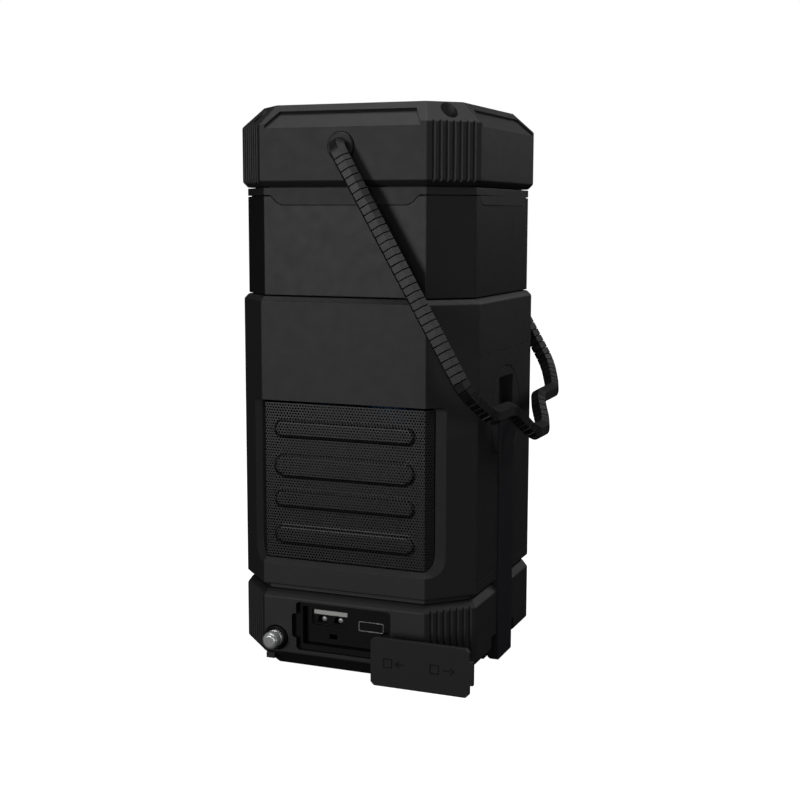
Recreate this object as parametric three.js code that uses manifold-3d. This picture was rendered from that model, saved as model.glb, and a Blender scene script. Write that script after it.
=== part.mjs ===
// Octagonal camping lantern with a speaker, a folding crank, a telescopic antenna, a port cover and a bail.
// Millimetres, +Z up, grille towards -Y, crank towards +X, origin at the middle of the underside.

import * as THREE from 'three';
import { mergeVertices } from 'three/addons/utils/BufferGeometryUtils.js';
import Module from 'manifold-3d';

// Fits: gaps between pieces, and how far a cutter or a join runs past the surface it meets
const clearance = 0.3;
const reach = 20;
const past = 1;

// Octagonal plan, shared by every storey
const halfWidth = 42.5;
const cornerCut = 13.3;
const wall = 2.4;

// Base
const padProud = 0.3;
const padThickness = 1.2;
const padInset = 13;
const baseHeight = 28.8;
const baseWall = 4.8;
const bottomChamfer = 7.2;
const bottomInset = 9;
const bottomCornerInset = 7.3;
const bevelHeight = 2.5;
const bevelInset = 1.7;
const grooveHeight = 1.8;
const neckHeight = 6.2;
const liningWall = 1.6;
const liningBottom = 2;
const pocketAboveKnob = 2;
const pocketBelowKnob = 2.4;

// Body
const bodyHeight = 95.7;
const ledgeHeight = 1.6;
const ledgeInset = 1.5;
const deckThickness = 2.4;
const deckHoleRadius = 6;

// Lens and collar
const lensHeight = 32.3;
const lensInset = 1.6;
const lensWall = 2;
const collarHeight = 2.4;
const tabDrop = 3.2;
const tabFromEdge = 6.3;
const tabSlope = 3.3;
const spigotWall = 2;
const spigotUp = 5.8;
const spigotDown = 8.8;

// Cap
const capLipHeight = 1.75;
const capLipInset = 1.6;
const capSide = 18.15;
const capBevel = 6.6;
const capBevelInset = 7;
const capWall = 3.6;
const capRoof = 3.2;
const pocketDepth = 0.9;
const pocketFromEdge = 1.7;
const pocketTopFromEdge = 5.3;
const pocketRise = 0.66;
const screwInset = 3.95;
const screwHeadRadius = 2.4;
const screwHeadHeight = 2.2;
const screwShankRadius = 1.3;
const screwLength = 14;
const screwHeadDepth = 5;
const screwSeatGap = 0.05;
const screwSocketRadius = 1.2;
const screwSocketDepth = 1.2;
const bossWall = 1.7;
const postInset = 1;

// Grooves on the corner faces
const grooveCount = 7;
const groovePitch = 2.35;
const grooveWidth = 1.4;
const grooveDepth = 0.7;

// Speaker and grille
const grilleAboveBody = 9;
const grilleHeight = 53.9;
const grilleWrap = 4.3;
const frameWrap = 7.4;
const frameDepth = 1.2;
const frameBevel = 1.6;
const grilleInset = 1.4;
const grilleThickness = 1;
const ribProud = 0.6;
const ribFromEdge = 3.9;
const ribs = [
  { above: 44.3, height: 6.4 },
  { above: 32, height: 8 },
  { above: 20.6, height: 6.4 },
  { above: 8.5, height: 6.4 },
];
const speakerRadius = 26.5;
const speakerFlange = 1.6;
const coneRadius = 20.9;
const coneThickness = 0.6;
const coneDepth = 7;
const coneCapRise = 2;
const coneCapThickness = 1;
const coneCapRadius = 6;
const speakerDepth = 15.5;
const magnetRadius = 12;
const magnetLength = 10;

// Crank
const panelFromEdge = 0.6;
const panelAboveBody = 4.1;
const panelHeight = 74.7;
const panelThickness = 2;
const hubAboveBody = 57;
const hubRadius = 16;
const hubThickness = 8;
const slotAboveHub = 12.6;
const armHalfWidth = 7.4;
const armThickness = 4.2;
const armProud = 0.85;
const armBottom = 1.8;
const armEndChamfer = 1.4;
const armPinRadius = 1.2;
const armPinHalfLength = 12.5;
const notchHalfWidth = 13;
const notchTop = 11.4;
const knobHeight = 13;
const knobRadius = 6;
const knobLength = 13.5;
const knobPinRadius = 1.5;
const knobPinShort = 1.3;
const shaftRadius = 3;
const shaftLength = 14;
const gearModule = 1;
const gearTeeth = 30;
const pinionTeeth = 10;
const gearWidth = 4;
const gearSetback = 6;
const gearPlateThickness = 1.6;
const gearPlateGap = 2;
const gearPlateMargin = 6;
const toothRoot = 1.15;
const toothTip = 0.8;
const toothRootShare = 0.33;
const toothTipShare = 0.14;
const dynamoRadius = 9.5;
const dynamoLength = 17;
const dynamoShaftRadius = 1.2;
const dynamoGap = 1.5;

// Port recess and its cover
const recessLeft = -17.1;
const recessRight = 17.3;
const recessBottom = 8.7;
const recessTop = 25.4;
const recessDepth = 1.8;
const recessLip = 1.7;
const bezelDepth = 4;
const bezelThickness = 1.5;
const usbAX = -6.4;
const usbAZ = 19.7;
const usbAWidth = 13.1;
const usbAHeight = 5.4;
const usbCX = 8.65;
const usbCZ = 18.2;
const usbCWidth = 9;
const usbCHeight = 3.2;
const connectorDepth = 10;
const shellWall = 0.35;
const usbATongueHeight = 1.5;
const usbCTongueHalfWidth = 3.3;
const usbCTongueHalfHeight = 0.35;
const indicatorX = -5.2;
const indicatorZ = 13.3;
const indicatorHalfWidth = 1.4;
const indicatorHalfHeight = 0.8;
const pinHoleX = 8.9;
const pinHoleZ = 12.6;
const pinHoleRadius = 0.5;
const portBoardLength = 16;
const boardThickness = 1.6;
const coverThickness = 1.5;
const coverPull = 7.2;
const coverCorner = 1.2;
const stemX = 15.4;
const stemZ = 14.2;
const stemRadius = 1.2;
const stemHeadRadius = 2.2;
const stemHeadLength = 1.6;
const pullLength = 1.3;
const pullHalfHeight = 3.9;

// Antenna
const antennaFromEdge = 4.6;
const antennaZ = 12.1;
const antennaRingRadius = 4.1;
const antennaRingProud = 0.7;
const antennaRingLength = 5;
const antennaWall = 0.35;
const antennaSectionRadius = 2.8;
const antennaShort = 13;
const antennaStep = 2;
const antennaTipRadius = 2.9;
const antennaTipLength = 4.6;
const tipRound = 0.7;
const tipNeckDepth = 0.8;
const lugHalfWidth = 1.5;
const lugOffset = 3;
const lugInset = 1.2;
const lugTopDrop = 1.2;
const lugBottomDrop = 3.1;

// Bail
const bailAngle = THREE.MathUtils.degToRad(30);
const pivotAboveCap = 12.5;
const sleeveRadius = 2.9;
const sleeveBore = 1.5;
const wireRadius = 1;
const bailGap = 1.3;
const gripGap = 2.75;
const gripShoulder = 10;
const kinkDrop = 10.6;
const kinkHalfTop = 15.6;
const kinkHalfBottom = 6.5;
const bailBend = 5;
const elbowShare = 0.95;
const sweepSteps = 160;
const bushRadius = 4.6;
const bushProud = 1;
const retainerRadius = 3.4;
const retainerLength = 2;

// Inside
const cellRadius = 9.2;
const cellLength = 65;
const cellFromSide = 16.5;
const cellPitch = 20;
const cellY = 16;
const cellAboveBody = 7.4;
const mainBoardHalfWidth = 26;
const mainBoardAboveBody = 17.4;
const mainBoardBelowTop = 9.9;
const mainBoardSetback = 5;
const columnRadius = 15;
const columnHeight = 24;
const ledBoardRadius = 17;

// Control side, towards +Y
const displayHalfWidth = 18;
const displayBelowTop = 13.9;
const displayHeight = 16;
const displayThickness = 1.6;
const buttonX = [-21, -7, 7, 21];
const buttonsBelowTop = 43.9;
const buttonRadius = 4;
const buttonFlange = 1.2;
const buttonProud = 0.8;
const dialAboveBody = 31.4;
const dialRadius = 10;
const dialProud = 2;
const dialShaftRadius = 3;
const dialShaftInside = 2;

// Levels worked out from the values above
const baseBottom = padProud;
const bodyBottom = baseHeight + grooveHeight;
const neckTop = bodyBottom + neckHeight;
const bodyTop = bodyBottom + bodyHeight + ledgeHeight;
const lensBottom = bodyTop + clearance;
const lensTop = lensBottom + lensHeight;
const collarBottom = lensTop + clearance;
const collarTop = collarBottom + collarHeight;
const capBottom = collarTop + clearance;
const capShoulder = capBottom + capLipHeight + capSide;
const capTop = capShoulder + capBevel;
const cornerFace = (2 * halfWidth - cornerCut) / Math.SQRT2;
const flatHalf = halfWidth - cornerCut;
const neckInset = wall + clearance;
const grilleBottom = bodyBottom + grilleAboveBody;
const grilleTop = grilleBottom + grilleHeight;
const speakerFront = -halfWidth + grilleInset + grilleThickness + clearance;
const speakerZ = (grilleBottom + grilleTop) / 2;
const magnetFront = speakerFront + speakerDepth;
const panelHalfWidth = flatHalf - panelFromEdge;
const panelBottom = bodyBottom + panelAboveBody;
const panelTop = panelBottom + panelHeight;
const hubHeight = bodyBottom + hubAboveBody;
const hubBack = halfWidth - hubThickness;
const gearFrom = hubBack - gearSetback - gearWidth;
const pinionHeight = hubHeight - gearModule * (gearTeeth + pinionTeeth) / 2 - clearance;
const grilleEdge = flatHalf + (grilleWrap - frameDepth) / Math.SQRT2;
const armHinge = halfWidth + armProud - armThickness / 2;
const armInner = halfWidth + armProud - armThickness;
const channelFloor = armInner - 2 * clearance;
const channelHalfWidth = armHalfWidth + clearance;
const lining = channelHalfWidth + liningWall;
const bezelFront = -halfWidth + bezelDepth;
const coverMiddleZ = (recessBottom + recessTop) / 2;
const antennaX = -(flatHalf - antennaFromEdge);
const antennaFront = -halfWidth - antennaRingProud;
const antennaLength = 2 * halfWidth - antennaShort;
const displayTop = bodyTop - displayBelowTop;
const displayBottom = displayTop - displayHeight;
const buttonZ = bodyTop - buttonsBelowTop;
const dialZ = bodyBottom + dialAboveBody;
const cellX = [-halfWidth + cellFromSide, -halfWidth + cellFromSide + cellPitch];
const pivotHeight = capBottom + pivotAboveCap;
const bailHalf = halfWidth + bailGap + sleeveRadius;
const gripRadius = (halfWidth + armProud + sleeveRadius + gripGap) / Math.sin(bailAngle);
const sleeveStart = halfWidth + bushProud + clearance;
const elbowBend = elbowShare * (bailHalf - sleeveStart);
const wireEnd = halfWidth - capWall - retainerLength;

const wasm = await Module();
wasm.setup();

// ---------- joining and cutting ----------

function toManifold(geometry) {
  const plain = geometry.clone();
  plain.deleteAttribute('normal');
  plain.deleteAttribute('uv');
  const merged = mergeVertices(plain, 1e-4);
  return new wasm.Manifold(new wasm.Mesh({
    numProp: 3,
    vertProperties: new Float32Array(merged.attributes.position.array),
    triVerts: new Uint32Array(merged.index.array),
  }));
}

function toGeometry(manifold) {
  const mesh = manifold.getMesh();
  const geometry = new THREE.BufferGeometry();
  geometry.setAttribute('position', new THREE.BufferAttribute(mesh.vertProperties, 3));
  geometry.setIndex(new THREE.BufferAttribute(mesh.triVerts, 1));
  geometry.computeVertexNormals();
  return geometry;
}

function join(...geometries) {
  const solids = geometries.map(toManifold);
  return toGeometry(solids.reduce((whole, next) => whole.add(next)));
}

function cut(body, ...tools) {
  return toGeometry(tools.map(toManifold).reduce((rest, tool) => rest.subtract(tool), toManifold(body)));
}

// ---------- plain solids ----------

const unitX = new THREE.Vector3(1, 0, 0);
const unitY = new THREE.Vector3(0, 1, 0);
const unitZ = new THREE.Vector3(0, 0, 1);

// A flat outline pushed along an axis: outlines are (y, z) along x, (x, z) along y and (x, y) along z.
function prism(axis, outline, from, to, curveSegments = 10) {
  const drawn = outline instanceof THREE.Shape;
  const shape = drawn ? outline : new THREE.Shape(outline.map(([a, b]) => new THREE.Vector2(a, b)));
  const depth = to - from;
  const geometry = new THREE.ExtrudeGeometry(shape, { depth, bevelEnabled: false, curveSegments });
  const frame = new THREE.Matrix4();
  if (axis === 'x') frame.makeBasis(unitY, unitZ, unitX).setPosition(from, 0, 0);
  if (axis === 'y') frame.makeBasis(unitX, unitZ, unitY.clone().negate()).setPosition(0, to, 0);
  if (axis === 'z') frame.setPosition(0, 0, from);
  return geometry.applyMatrix4(frame);
}

function box(x0, x1, y0, y1, z0, z1) {
  return prism('z', [[x0, y0], [x1, y0], [x1, y1], [x0, y1]], z0, z1);
}

function disc(a, b, radius, bore = 0) {
  const shape = new THREE.Shape();
  shape.absarc(a, b, radius, 0, 2 * Math.PI, false);
  if (bore > 0) {
    const hole = new THREE.Path();
    hole.absarc(a, b, bore, 0, 2 * Math.PI, true);
    shape.holes.push(hole);
  }
  return shape;
}

// A profile of [radius, y] points turned round the Y axis.
function lathe(profile, segments) {
  return new THREE.LatheGeometry(profile.map(([r, y]) => new THREE.Vector2(r, y)), segments);
}

// A bar with half-round ends, lying across its own middle.
function pill(a, b, halfLength, halfHeight) {
  const shape = new THREE.Shape();
  const run = halfLength - halfHeight;
  shape.absarc(a + run, b, halfHeight, -Math.PI / 2, Math.PI / 2, false);
  shape.absarc(a - run, b, halfHeight, Math.PI / 2, 1.5 * Math.PI, false);
  return shape;
}

// The plan octagon moved in by an inset, anticlockwise from the +X side.
function octagon(inset, cornerInset = inset) {
  const side = halfWidth - inset;
  const flat = (cornerFace - cornerInset) * Math.SQRT2 - side;
  return [
    [side, -flat], [side, flat], [flat, side], [-flat, side],
    [-side, flat], [-side, -flat], [-flat, -side], [flat, -side],
  ];
}

// A closed solid through octagons at rising levels, each given as [z, inset, corner inset].
function storey(levels) {
  const rings = levels.map(([z, inset, cornerInset]) => octagon(inset, cornerInset).map(([x, y]) => [x, y, z]));
  const sides = rings[0].length;
  const positions = rings.flat(2);
  const index = [];
  for (let level = 0; level < rings.length - 1; level += 1) {
    for (let corner = 0; corner < sides; corner += 1) {
      const a = level * sides + corner;
      const b = level * sides + (corner + 1) % sides;
      index.push(a, b, b + sides, a, b + sides, a + sides);
    }
  }
  const last = (rings.length - 1) * sides;
  for (let corner = 1; corner < sides - 1; corner += 1) {
    index.push(0, corner + 1, corner, last, last + corner, last + corner + 1);
  }
  const geometry = new THREE.BufferGeometry();
  geometry.setAttribute('position', new THREE.Float32BufferAttribute(positions, 3));
  geometry.setIndex(index);
  return geometry;
}

function turned(geometry, quarterTurns) {
  return geometry.clone().rotateZ(quarterTurns * Math.PI / 2);
}

function aroundSides(geometry) {
  return [0, 1, 2, 3].map((turn) => turned(geometry, turn));
}

// The V grooves of all four corner faces between two levels.
function cornerGrooves(bottom, top) {
  const grooves = [];
  for (let count = 0; count < grooveCount; count += 1) {
    const along = (count - (grooveCount - 1) / 2) * groovePitch;
    const outline = [
      [cornerFace - grooveDepth, along],
      [cornerFace + grooveDepth, along - grooveWidth],
      [cornerFace + grooveDepth, along + grooveWidth],
    ];
    grooves.push(...aroundSides(prism('z', outline, bottom, top).rotateZ(Math.PI / 4)));
  }
  return grooves;
}

function cornerPoint(inset) {
  return (cornerFace - inset) / Math.SQRT2;
}

// ---------- base ----------

function armChannel(bottom, top) {
  return box(channelFloor, halfWidth + reach, -channelHalfWidth, channelHalfWidth, bottom, top);
}

function basePad() {
  return storey([[0, padInset], [padThickness, padInset]]);
}

function innerOpening() {
  const opening = box(
    recessLeft + recessLip, recessRight - recessLip, -halfWidth, -halfWidth + reach / 2,
    recessBottom + recessLip, recessTop - recessLip,
  );
  return cut(opening, prism('y', disc(stemX, stemZ, stemRadius + bossWall), -halfWidth - past, 0));
}

// The small foot on the front chamfer, below the antenna.
function baseLug() {
  const middle = antennaX - lugOffset;
  return box(
    middle - lugHalfWidth, middle + lugHalfWidth, -halfWidth + lugInset, -halfWidth + bottomInset,
    bottomChamfer - lugBottomDrop, bottomChamfer - lugTopDrop,
  );
}

function baseHousing() {
  const shell = storey([
    [baseBottom, bottomInset, bottomCornerInset], [bottomChamfer, 0], [baseHeight - bevelHeight, 0],
    [baseHeight, bevelInset], [baseHeight, neckInset], [neckTop, neckInset],
  ]);
  const floor = padThickness + clearance + wall;
  const hollow = storey([
    [floor, bottomInset + wall], [floor + bottomChamfer, baseWall], [neckTop + reach, baseWall],
  ]);
  const pocketDeep = armInner - knobLength - 3 * clearance;
  const pocketTop = knobHeight + knobRadius + pocketAboveKnob;
  const pocketBottom = knobHeight - knobRadius - pocketBelowKnob;
  const pocketBlock = box(
    pocketDeep - liningWall, halfWidth - wall, -lining, lining, liningBottom, pocketTop + liningWall,
  );
  const channelBlock = box(channelFloor - wall, halfWidth - neckInset, -lining, lining, liningBottom, neckTop);
  const frontHole = [-halfWidth - past, -halfWidth + reach / 2];
  const solid = join(cut(shell, hollow), pocketBlock, channelBlock, baseLug());
  return cut(
    solid,
    storey([[-past, padInset - clearance], [padThickness + clearance, padInset - clearance]]),
    box(pocketDeep, halfWidth + reach, -channelHalfWidth, channelHalfWidth, pocketBottom, pocketTop),
    armChannel(-past, neckTop + reach),
    box(channelFloor, halfWidth + reach, -notchHalfWidth, notchHalfWidth, -past, notchTop),
    box(recessLeft, recessRight, -halfWidth - reach, -halfWidth + recessDepth, recessBottom, recessTop),
    box(
      recessLeft - pullLength - clearance, 0, -halfWidth - reach, -halfWidth + recessDepth,
      coverMiddleZ - pullHalfHeight - clearance, coverMiddleZ + pullHalfHeight + clearance,
    ),
    innerOpening(),
    prism('y', disc(stemX, stemZ, stemRadius + clearance), ...frontHole),
    prism('y', disc(antennaX, antennaZ, antennaRingRadius + clearance), ...frontHole),
    ...cornerGrooves(-past, baseHeight),
  );
}

// ---------- ports and their cover ----------

function portBezel() {
  const left = recessLeft + recessLip + clearance;
  const right = recessRight - recessLip - clearance;
  const plate = box(
    left, right, bezelFront, bezelFront + bezelThickness,
    recessBottom + recessLip + clearance, recessTop - recessLip - clearance,
  );
  const through = [bezelFront - past, bezelFront + bezelThickness + past];
  return cut(
    plate,
    box(
      usbAX - usbAWidth / 2 - clearance, usbAX + usbAWidth / 2 + clearance, ...through,
      usbAZ - usbAHeight / 2 - clearance, usbAZ + usbAHeight / 2 + clearance,
    ),
    prism('y', pill(usbCX, usbCZ, usbCWidth / 2 + clearance, usbCHeight / 2 + clearance), ...through),
    box(
      indicatorX - indicatorHalfWidth, indicatorX + indicatorHalfWidth, ...through,
      indicatorZ - indicatorHalfHeight, indicatorZ + indicatorHalfHeight,
    ),
    prism('y', disc(pinHoleX, pinHoleZ, pinHoleRadius), ...through, 4),
    prism('y', disc(stemX, stemZ, stemRadius + bossWall + clearance), ...through),
  );
}

function usbAShell() {
  const back = bezelFront + connectorDepth;
  const halfA = usbAWidth / 2;
  const halfB = usbAHeight / 2;
  const outer = box(usbAX - halfA, usbAX + halfA, bezelFront + clearance, back, usbAZ - halfB, usbAZ + halfB);
  const inner = box(
    usbAX - halfA + shellWall, usbAX + halfA - shellWall, bezelFront, back - past,
    usbAZ - halfB + shellWall, usbAZ + halfB - shellWall,
  );
  return cut(outer, inner);
}

function usbATongue() {
  const half = usbAWidth / 2 - shellWall - 2 * clearance;
  const top = usbAZ + usbAHeight / 2 - shellWall - clearance;
  return box(
    usbAX - half, usbAX + half, bezelFront + 2 * clearance, bezelFront + connectorDepth - past - clearance,
    top - usbATongueHeight, top,
  );
}

function usbCShell() {
  const back = bezelFront + connectorDepth;
  const outer = prism('y', pill(usbCX, usbCZ, usbCWidth / 2, usbCHeight / 2), bezelFront + clearance, back);
  const bore = pill(usbCX, usbCZ, usbCWidth / 2 - shellWall, usbCHeight / 2 - shellWall);
  return cut(outer, prism('y', bore, bezelFront, back - past));
}

function usbCTongue() {
  const back = bezelFront + connectorDepth - past - clearance;
  return box(
    usbCX - usbCTongueHalfWidth, usbCX + usbCTongueHalfWidth, bezelFront + past, back,
    usbCZ - usbCTongueHalfHeight, usbCZ + usbCTongueHalfHeight,
  );
}

function portBoard() {
  const top = Math.min(usbAZ - usbAHeight / 2, usbCZ - usbCHeight / 2) - clearance;
  const front = bezelFront + bezelThickness + clearance;
  const right = stemX - stemHeadRadius - clearance;
  return box(usbAX - usbAWidth / 2, right, front, front + portBoardLength, top - boardThickness, top);
}

// The cover is drawn about its stem and shut; its group turns it half round and pulls it out.
function portCover() {
  const left = recessLeft + clearance - stemX;
  const right = recessRight - clearance - stemX;
  const bottom = recessBottom + clearance - stemZ;
  const top = recessTop - clearance - stemZ;
  const outline = [
    [left + coverCorner, bottom], [right - coverCorner, bottom], [right, bottom + coverCorner],
    [right, top - coverCorner], [right - coverCorner, top], [left + coverCorner, top],
    [left, top - coverCorner], [left, bottom + coverCorner],
  ];
  const middle = coverMiddleZ - stemZ;
  const pull = box(
    left - pullLength, left + past, 0, coverThickness, middle - pullHalfHeight, middle + pullHalfHeight,
  );
  const slab = join(prism('y', outline, 0, coverThickness), pull);
  return cut(slab, prism('y', disc(0, 0, stemRadius + clearance), coverThickness / 2, coverThickness + past));
}

function portCoverStem() {
  const headFront = coverThickness + coverPull + baseWall + clearance;
  const rod = prism('y', disc(0, 0, stemRadius), coverThickness / 2 + clearance, headFront + past);
  return join(rod, prism('y', disc(0, 0, stemHeadRadius), headFront, headFront + stemHeadLength));
}

// ---------- antenna ----------

function antennaSocket() {
  const bore = antennaSectionRadius + clearance;
  return prism('y', disc(0, 0, antennaRingRadius, bore), antennaFront, antennaFront + antennaRingLength);
}

function antennaTube() {
  const front = antennaFront + antennaRingLength + clearance;
  const bore = antennaSectionRadius + clearance;
  return prism('y', disc(0, 0, bore + antennaWall, bore), front, front + antennaLength);
}

function sectionRadius(step) {
  return antennaSectionRadius - step * (antennaWall + clearance);
}

function antennaSection(step) {
  const radius = sectionRadius(step);
  const bore = step < 2 ? radius - antennaWall : 0;
  const back = antennaFront + antennaLength - antennaStep * step;
  return prism('y', disc(0, 0, radius, bore), antennaFront, back, 8);
}

function antennaTip() {
  const back = antennaFront - clearance;
  const front = back - antennaTipLength;
  const neck = antennaTipRadius - tipNeckDepth;
  const profile = [
    [0, front], [antennaTipRadius - tipRound, front], [antennaTipRadius, front + tipRound],
    [antennaTipRadius, back - 2.5 * tipNeckDepth], [neck, back - 2 * tipNeckDepth],
    [neck, back - 1.2 * tipNeckDepth], [antennaTipRadius, back - tipNeckDepth], [antennaTipRadius, back],
    [0, back],
  ];
  return lathe(profile, 20);
}

// ---------- body and speaker ----------

// The plan outline of a folded sheet over the front face, with its ends on the corner faces.
function frontSheet(outerInset, innerInset, edge) {
  const side = (inset) => {
    const [, , , , , , , [flat, front]] = octagon(inset);
    const rim = (cornerFace - inset) * Math.SQRT2 - edge;
    return { flat, front, rim };
  };
  const outer = side(outerInset);
  const inner = side(innerInset);
  return [
    [-edge, -outer.rim], [-outer.flat, outer.front], [outer.flat, outer.front], [edge, -outer.rim],
    [edge, -inner.rim], [inner.flat, inner.front], [-inner.flat, inner.front], [-edge, -inner.rim],
  ];
}

function grilleCutter() {
  const outer = flatHalf + frameWrap / Math.SQRT2;
  const outerY = -(cornerFace * Math.SQRT2 - outer);
  const innerY = -((cornerFace - frameDepth) * Math.SQRT2 - grilleEdge);
  const outline = [
    [outer + reach, outerY - reach], [outer, outerY], [grilleEdge, innerY], [grilleEdge, -halfWidth + reach],
    [-grilleEdge, -halfWidth + reach], [-grilleEdge, innerY], [-outer, outerY],
    [-outer - reach, outerY - reach],
  ];
  return prism('z', outline, grilleBottom, grilleTop);
}

function grilleSill() {
  const outline = [
    [-halfWidth - past, grilleBottom - frameBevel - past], [-halfWidth + frameBevel, grilleBottom],
    [-halfWidth + frameBevel, grilleBottom + past], [-halfWidth - past, grilleBottom + past],
  ];
  return prism('x', outline, -flatHalf, flatHalf);
}

function bodyShell() {
  const outer = storey([[bodyBottom, 0], [bodyTop - ledgeHeight, 0], [bodyTop, ledgeInset]]);
  const hollow = storey([[bodyBottom - past, wall], [bodyTop - deckThickness, wall]]);
  const panelFit = panelHalfWidth + clearance;
  const through = [halfWidth - wall - past, halfWidth + past];
  return cut(
    outer, hollow, grilleCutter(), grilleSill(),
    prism('z', disc(0, 0, deckHoleRadius), bodyTop - deckThickness - past, bodyTop + past),
    box(...through, -panelFit, panelFit, panelBottom - clearance, panelTop + clearance),
    armChannel(bodyBottom - past, panelBottom),
    box(-displayHalfWidth, displayHalfWidth, ...through, displayBottom, displayTop),
    ...buttonX.map((x) => prism('y', disc(x, buttonZ, buttonRadius + clearance), ...through)),
    prism('y', disc(0, dialZ, dialShaftRadius + clearance), ...through),
  );
}

function speakerGrille() {
  const outline = frontSheet(grilleInset, grilleInset + grilleThickness, grilleEdge - clearance);
  const sheet = prism('z', outline, grilleBottom + clearance, grilleTop - clearance);
  const front = -halfWidth + grilleInset - ribProud;
  const back = -halfWidth + grilleInset + grilleThickness / 2;
  const raised = ribs.map(({ above, height }) => (
    prism('y', pill(0, grilleBottom + above, flatHalf - ribFromEdge, height / 2), front, back, 6)
  ));
  return join(sheet, ...raised);
}

function speakerFrame() {
  const inner = coneRadius + clearance;
  const flangeBack = speakerFront + speakerFlange;
  const back = magnetFront - clearance;
  return lathe([
    [inner, speakerFront], [speakerRadius, speakerFront], [speakerRadius, flangeBack],
    [inner + speakerFlange, flangeBack], [magnetRadius + speakerFlange, back],
    [magnetRadius, back], [inner, flangeBack], [inner, speakerFront],
  ], 28);
}

function speakerCone() {
  const front = speakerFront + clearance;
  const back = front + coneDepth + coneCapThickness;
  return lathe([
    [0, front + coneDepth - coneCapRise], [coneCapRadius, front + coneDepth], [coneRadius, front],
    [coneRadius, front + coneThickness], [coneCapRadius + coneThickness, back], [0, back],
  ], 28);
}

function speakerMagnet() {
  return prism('y', disc(0, speakerZ, magnetRadius), magnetFront, magnetFront + magnetLength);
}

// ---------- crank ----------

function crankCoverPanel() {
  const plate = box(
    halfWidth - panelThickness, halfWidth, -panelHalfWidth, panelHalfWidth, panelBottom, panelTop,
  );
  const tray = box(
    channelFloor - wall / 2, halfWidth - panelThickness / 2, -lining, lining,
    neckTop + clearance, hubHeight - hubRadius / 2,
  );
  return cut(
    join(plate, tray),
    prism('x', disc(0, hubHeight, hubRadius + clearance), channelFloor - reach, halfWidth + past, 24),
    armChannel(panelBottom - past, hubHeight),
  );
}

function crankHub() {
  const blank = prism('x', disc(0, hubHeight, hubRadius), halfWidth - hubThickness, halfWidth, 24);
  return cut(
    blank,
    armChannel(hubHeight - hubRadius - past, hubHeight + slotAboveHub),
    prism('y', disc(armHinge, hubHeight, armPinRadius + clearance), -armPinHalfLength - clearance,
      armPinHalfLength + clearance),
  );
}

function crankArm() {
  const outer = halfWidth + armProud;
  const shape = new THREE.Shape();
  shape.absarc(armHinge, hubHeight, armThickness / 2, 0, Math.PI, false);
  shape.lineTo(armInner, armBottom + armEndChamfer);
  shape.lineTo(armInner + armEndChamfer, armBottom);
  shape.lineTo(outer, armBottom);
  return cut(
    prism('y', shape, -armHalfWidth, armHalfWidth),
    prism('y', disc(armHinge, hubHeight, armPinRadius + clearance), -armHalfWidth - past, armHalfWidth + past),
    prism('x', disc(0, knobHeight, knobPinRadius + clearance), armInner - past, outer - past),
  );
}

function crankHingePin() {
  return prism('y', disc(armHinge, hubHeight, armPinRadius), -armPinHalfLength, armPinHalfLength);
}

function crankKnob() {
  const back = armInner - clearance;
  return prism('x', disc(0, knobHeight, knobRadius, knobPinRadius + clearance), back - knobLength, back, 12);
}

function knobPin() {
  const end = armInner + armThickness - knobPinShort;
  return prism('x', disc(0, knobHeight, knobPinRadius), armInner - knobLength, end);
}

function crankShaft() {
  const end = hubBack - clearance;
  return prism('x', disc(0, hubHeight, shaftRadius), end - shaftLength, end);
}

function gearOutline(teeth, middle, firstTooth, bore) {
  const pitchRadius = gearModule * teeth / 2;
  const root = pitchRadius - toothRoot * gearModule;
  const tip = pitchRadius + toothTip * gearModule;
  const pitchAngle = 2 * Math.PI / teeth;
  const corners = [
    [root, -toothRootShare], [tip, -toothTipShare], [tip, toothTipShare], [root, toothRootShare],
  ];
  const points = [];
  for (let tooth = 0; tooth < teeth; tooth += 1) {
    for (const [radius, share] of corners) {
      const angle = firstTooth + (tooth + share) * pitchAngle;
      points.push(new THREE.Vector2(radius * Math.cos(angle), middle + radius * Math.sin(angle)));
    }
  }
  const shape = new THREE.Shape(points);
  shape.holes.push(new THREE.Path().absarc(0, middle, bore, 0, 2 * Math.PI, true));
  return shape;
}

function driveGear() {
  const gap = -Math.PI / 2 + Math.PI / gearTeeth;
  const outline = gearOutline(gearTeeth, hubHeight, gap, shaftRadius + clearance);
  return prism('x', outline, gearFrom, gearFrom + gearWidth, 8);
}

function dynamoPinion() {
  const outline = gearOutline(pinionTeeth, pinionHeight, Math.PI / 2, dynamoShaftRadius + clearance);
  return prism('x', outline, gearFrom, gearFrom + gearWidth, 6);
}

function gearPlate() {
  const from = gearFrom + gearWidth + gearPlateGap;
  const to = from + gearPlateThickness;
  const half = dynamoRadius + gearPlateMargin;
  return cut(
    box(from, to, -half, half, pinionHeight - half, hubHeight + half),
    prism('x', disc(0, hubHeight, shaftRadius + clearance), from - past, to + past),
    prism('x', disc(0, pinionHeight, dynamoShaftRadius + clearance), from - past, to + past),
  );
}

function dynamo() {
  const end = gearFrom - dynamoGap;
  const shaftEnd = gearFrom + gearWidth + gearPlateGap + gearPlateThickness;
  return join(
    prism('x', disc(0, pinionHeight, dynamoRadius), end - dynamoLength, end, 12),
    prism('x', disc(0, pinionHeight, dynamoShaftRadius), end - past, shaftEnd, 6),
  );
}

// ---------- inside ----------

function batteryCell() {
  return prism('z', disc(0, 0, cellRadius), 0, cellLength);
}

function mainBoard() {
  const back = halfWidth - wall - mainBoardSetback;
  return box(
    -mainBoardHalfWidth, mainBoardHalfWidth, back - boardThickness, back,
    bodyBottom + mainBoardAboveBody, bodyTop - mainBoardBelowTop,
  );
}

function ledBoard() {
  return prism('z', disc(0, 0, ledBoardRadius), lensBottom, lensBottom + boardThickness);
}

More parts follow.
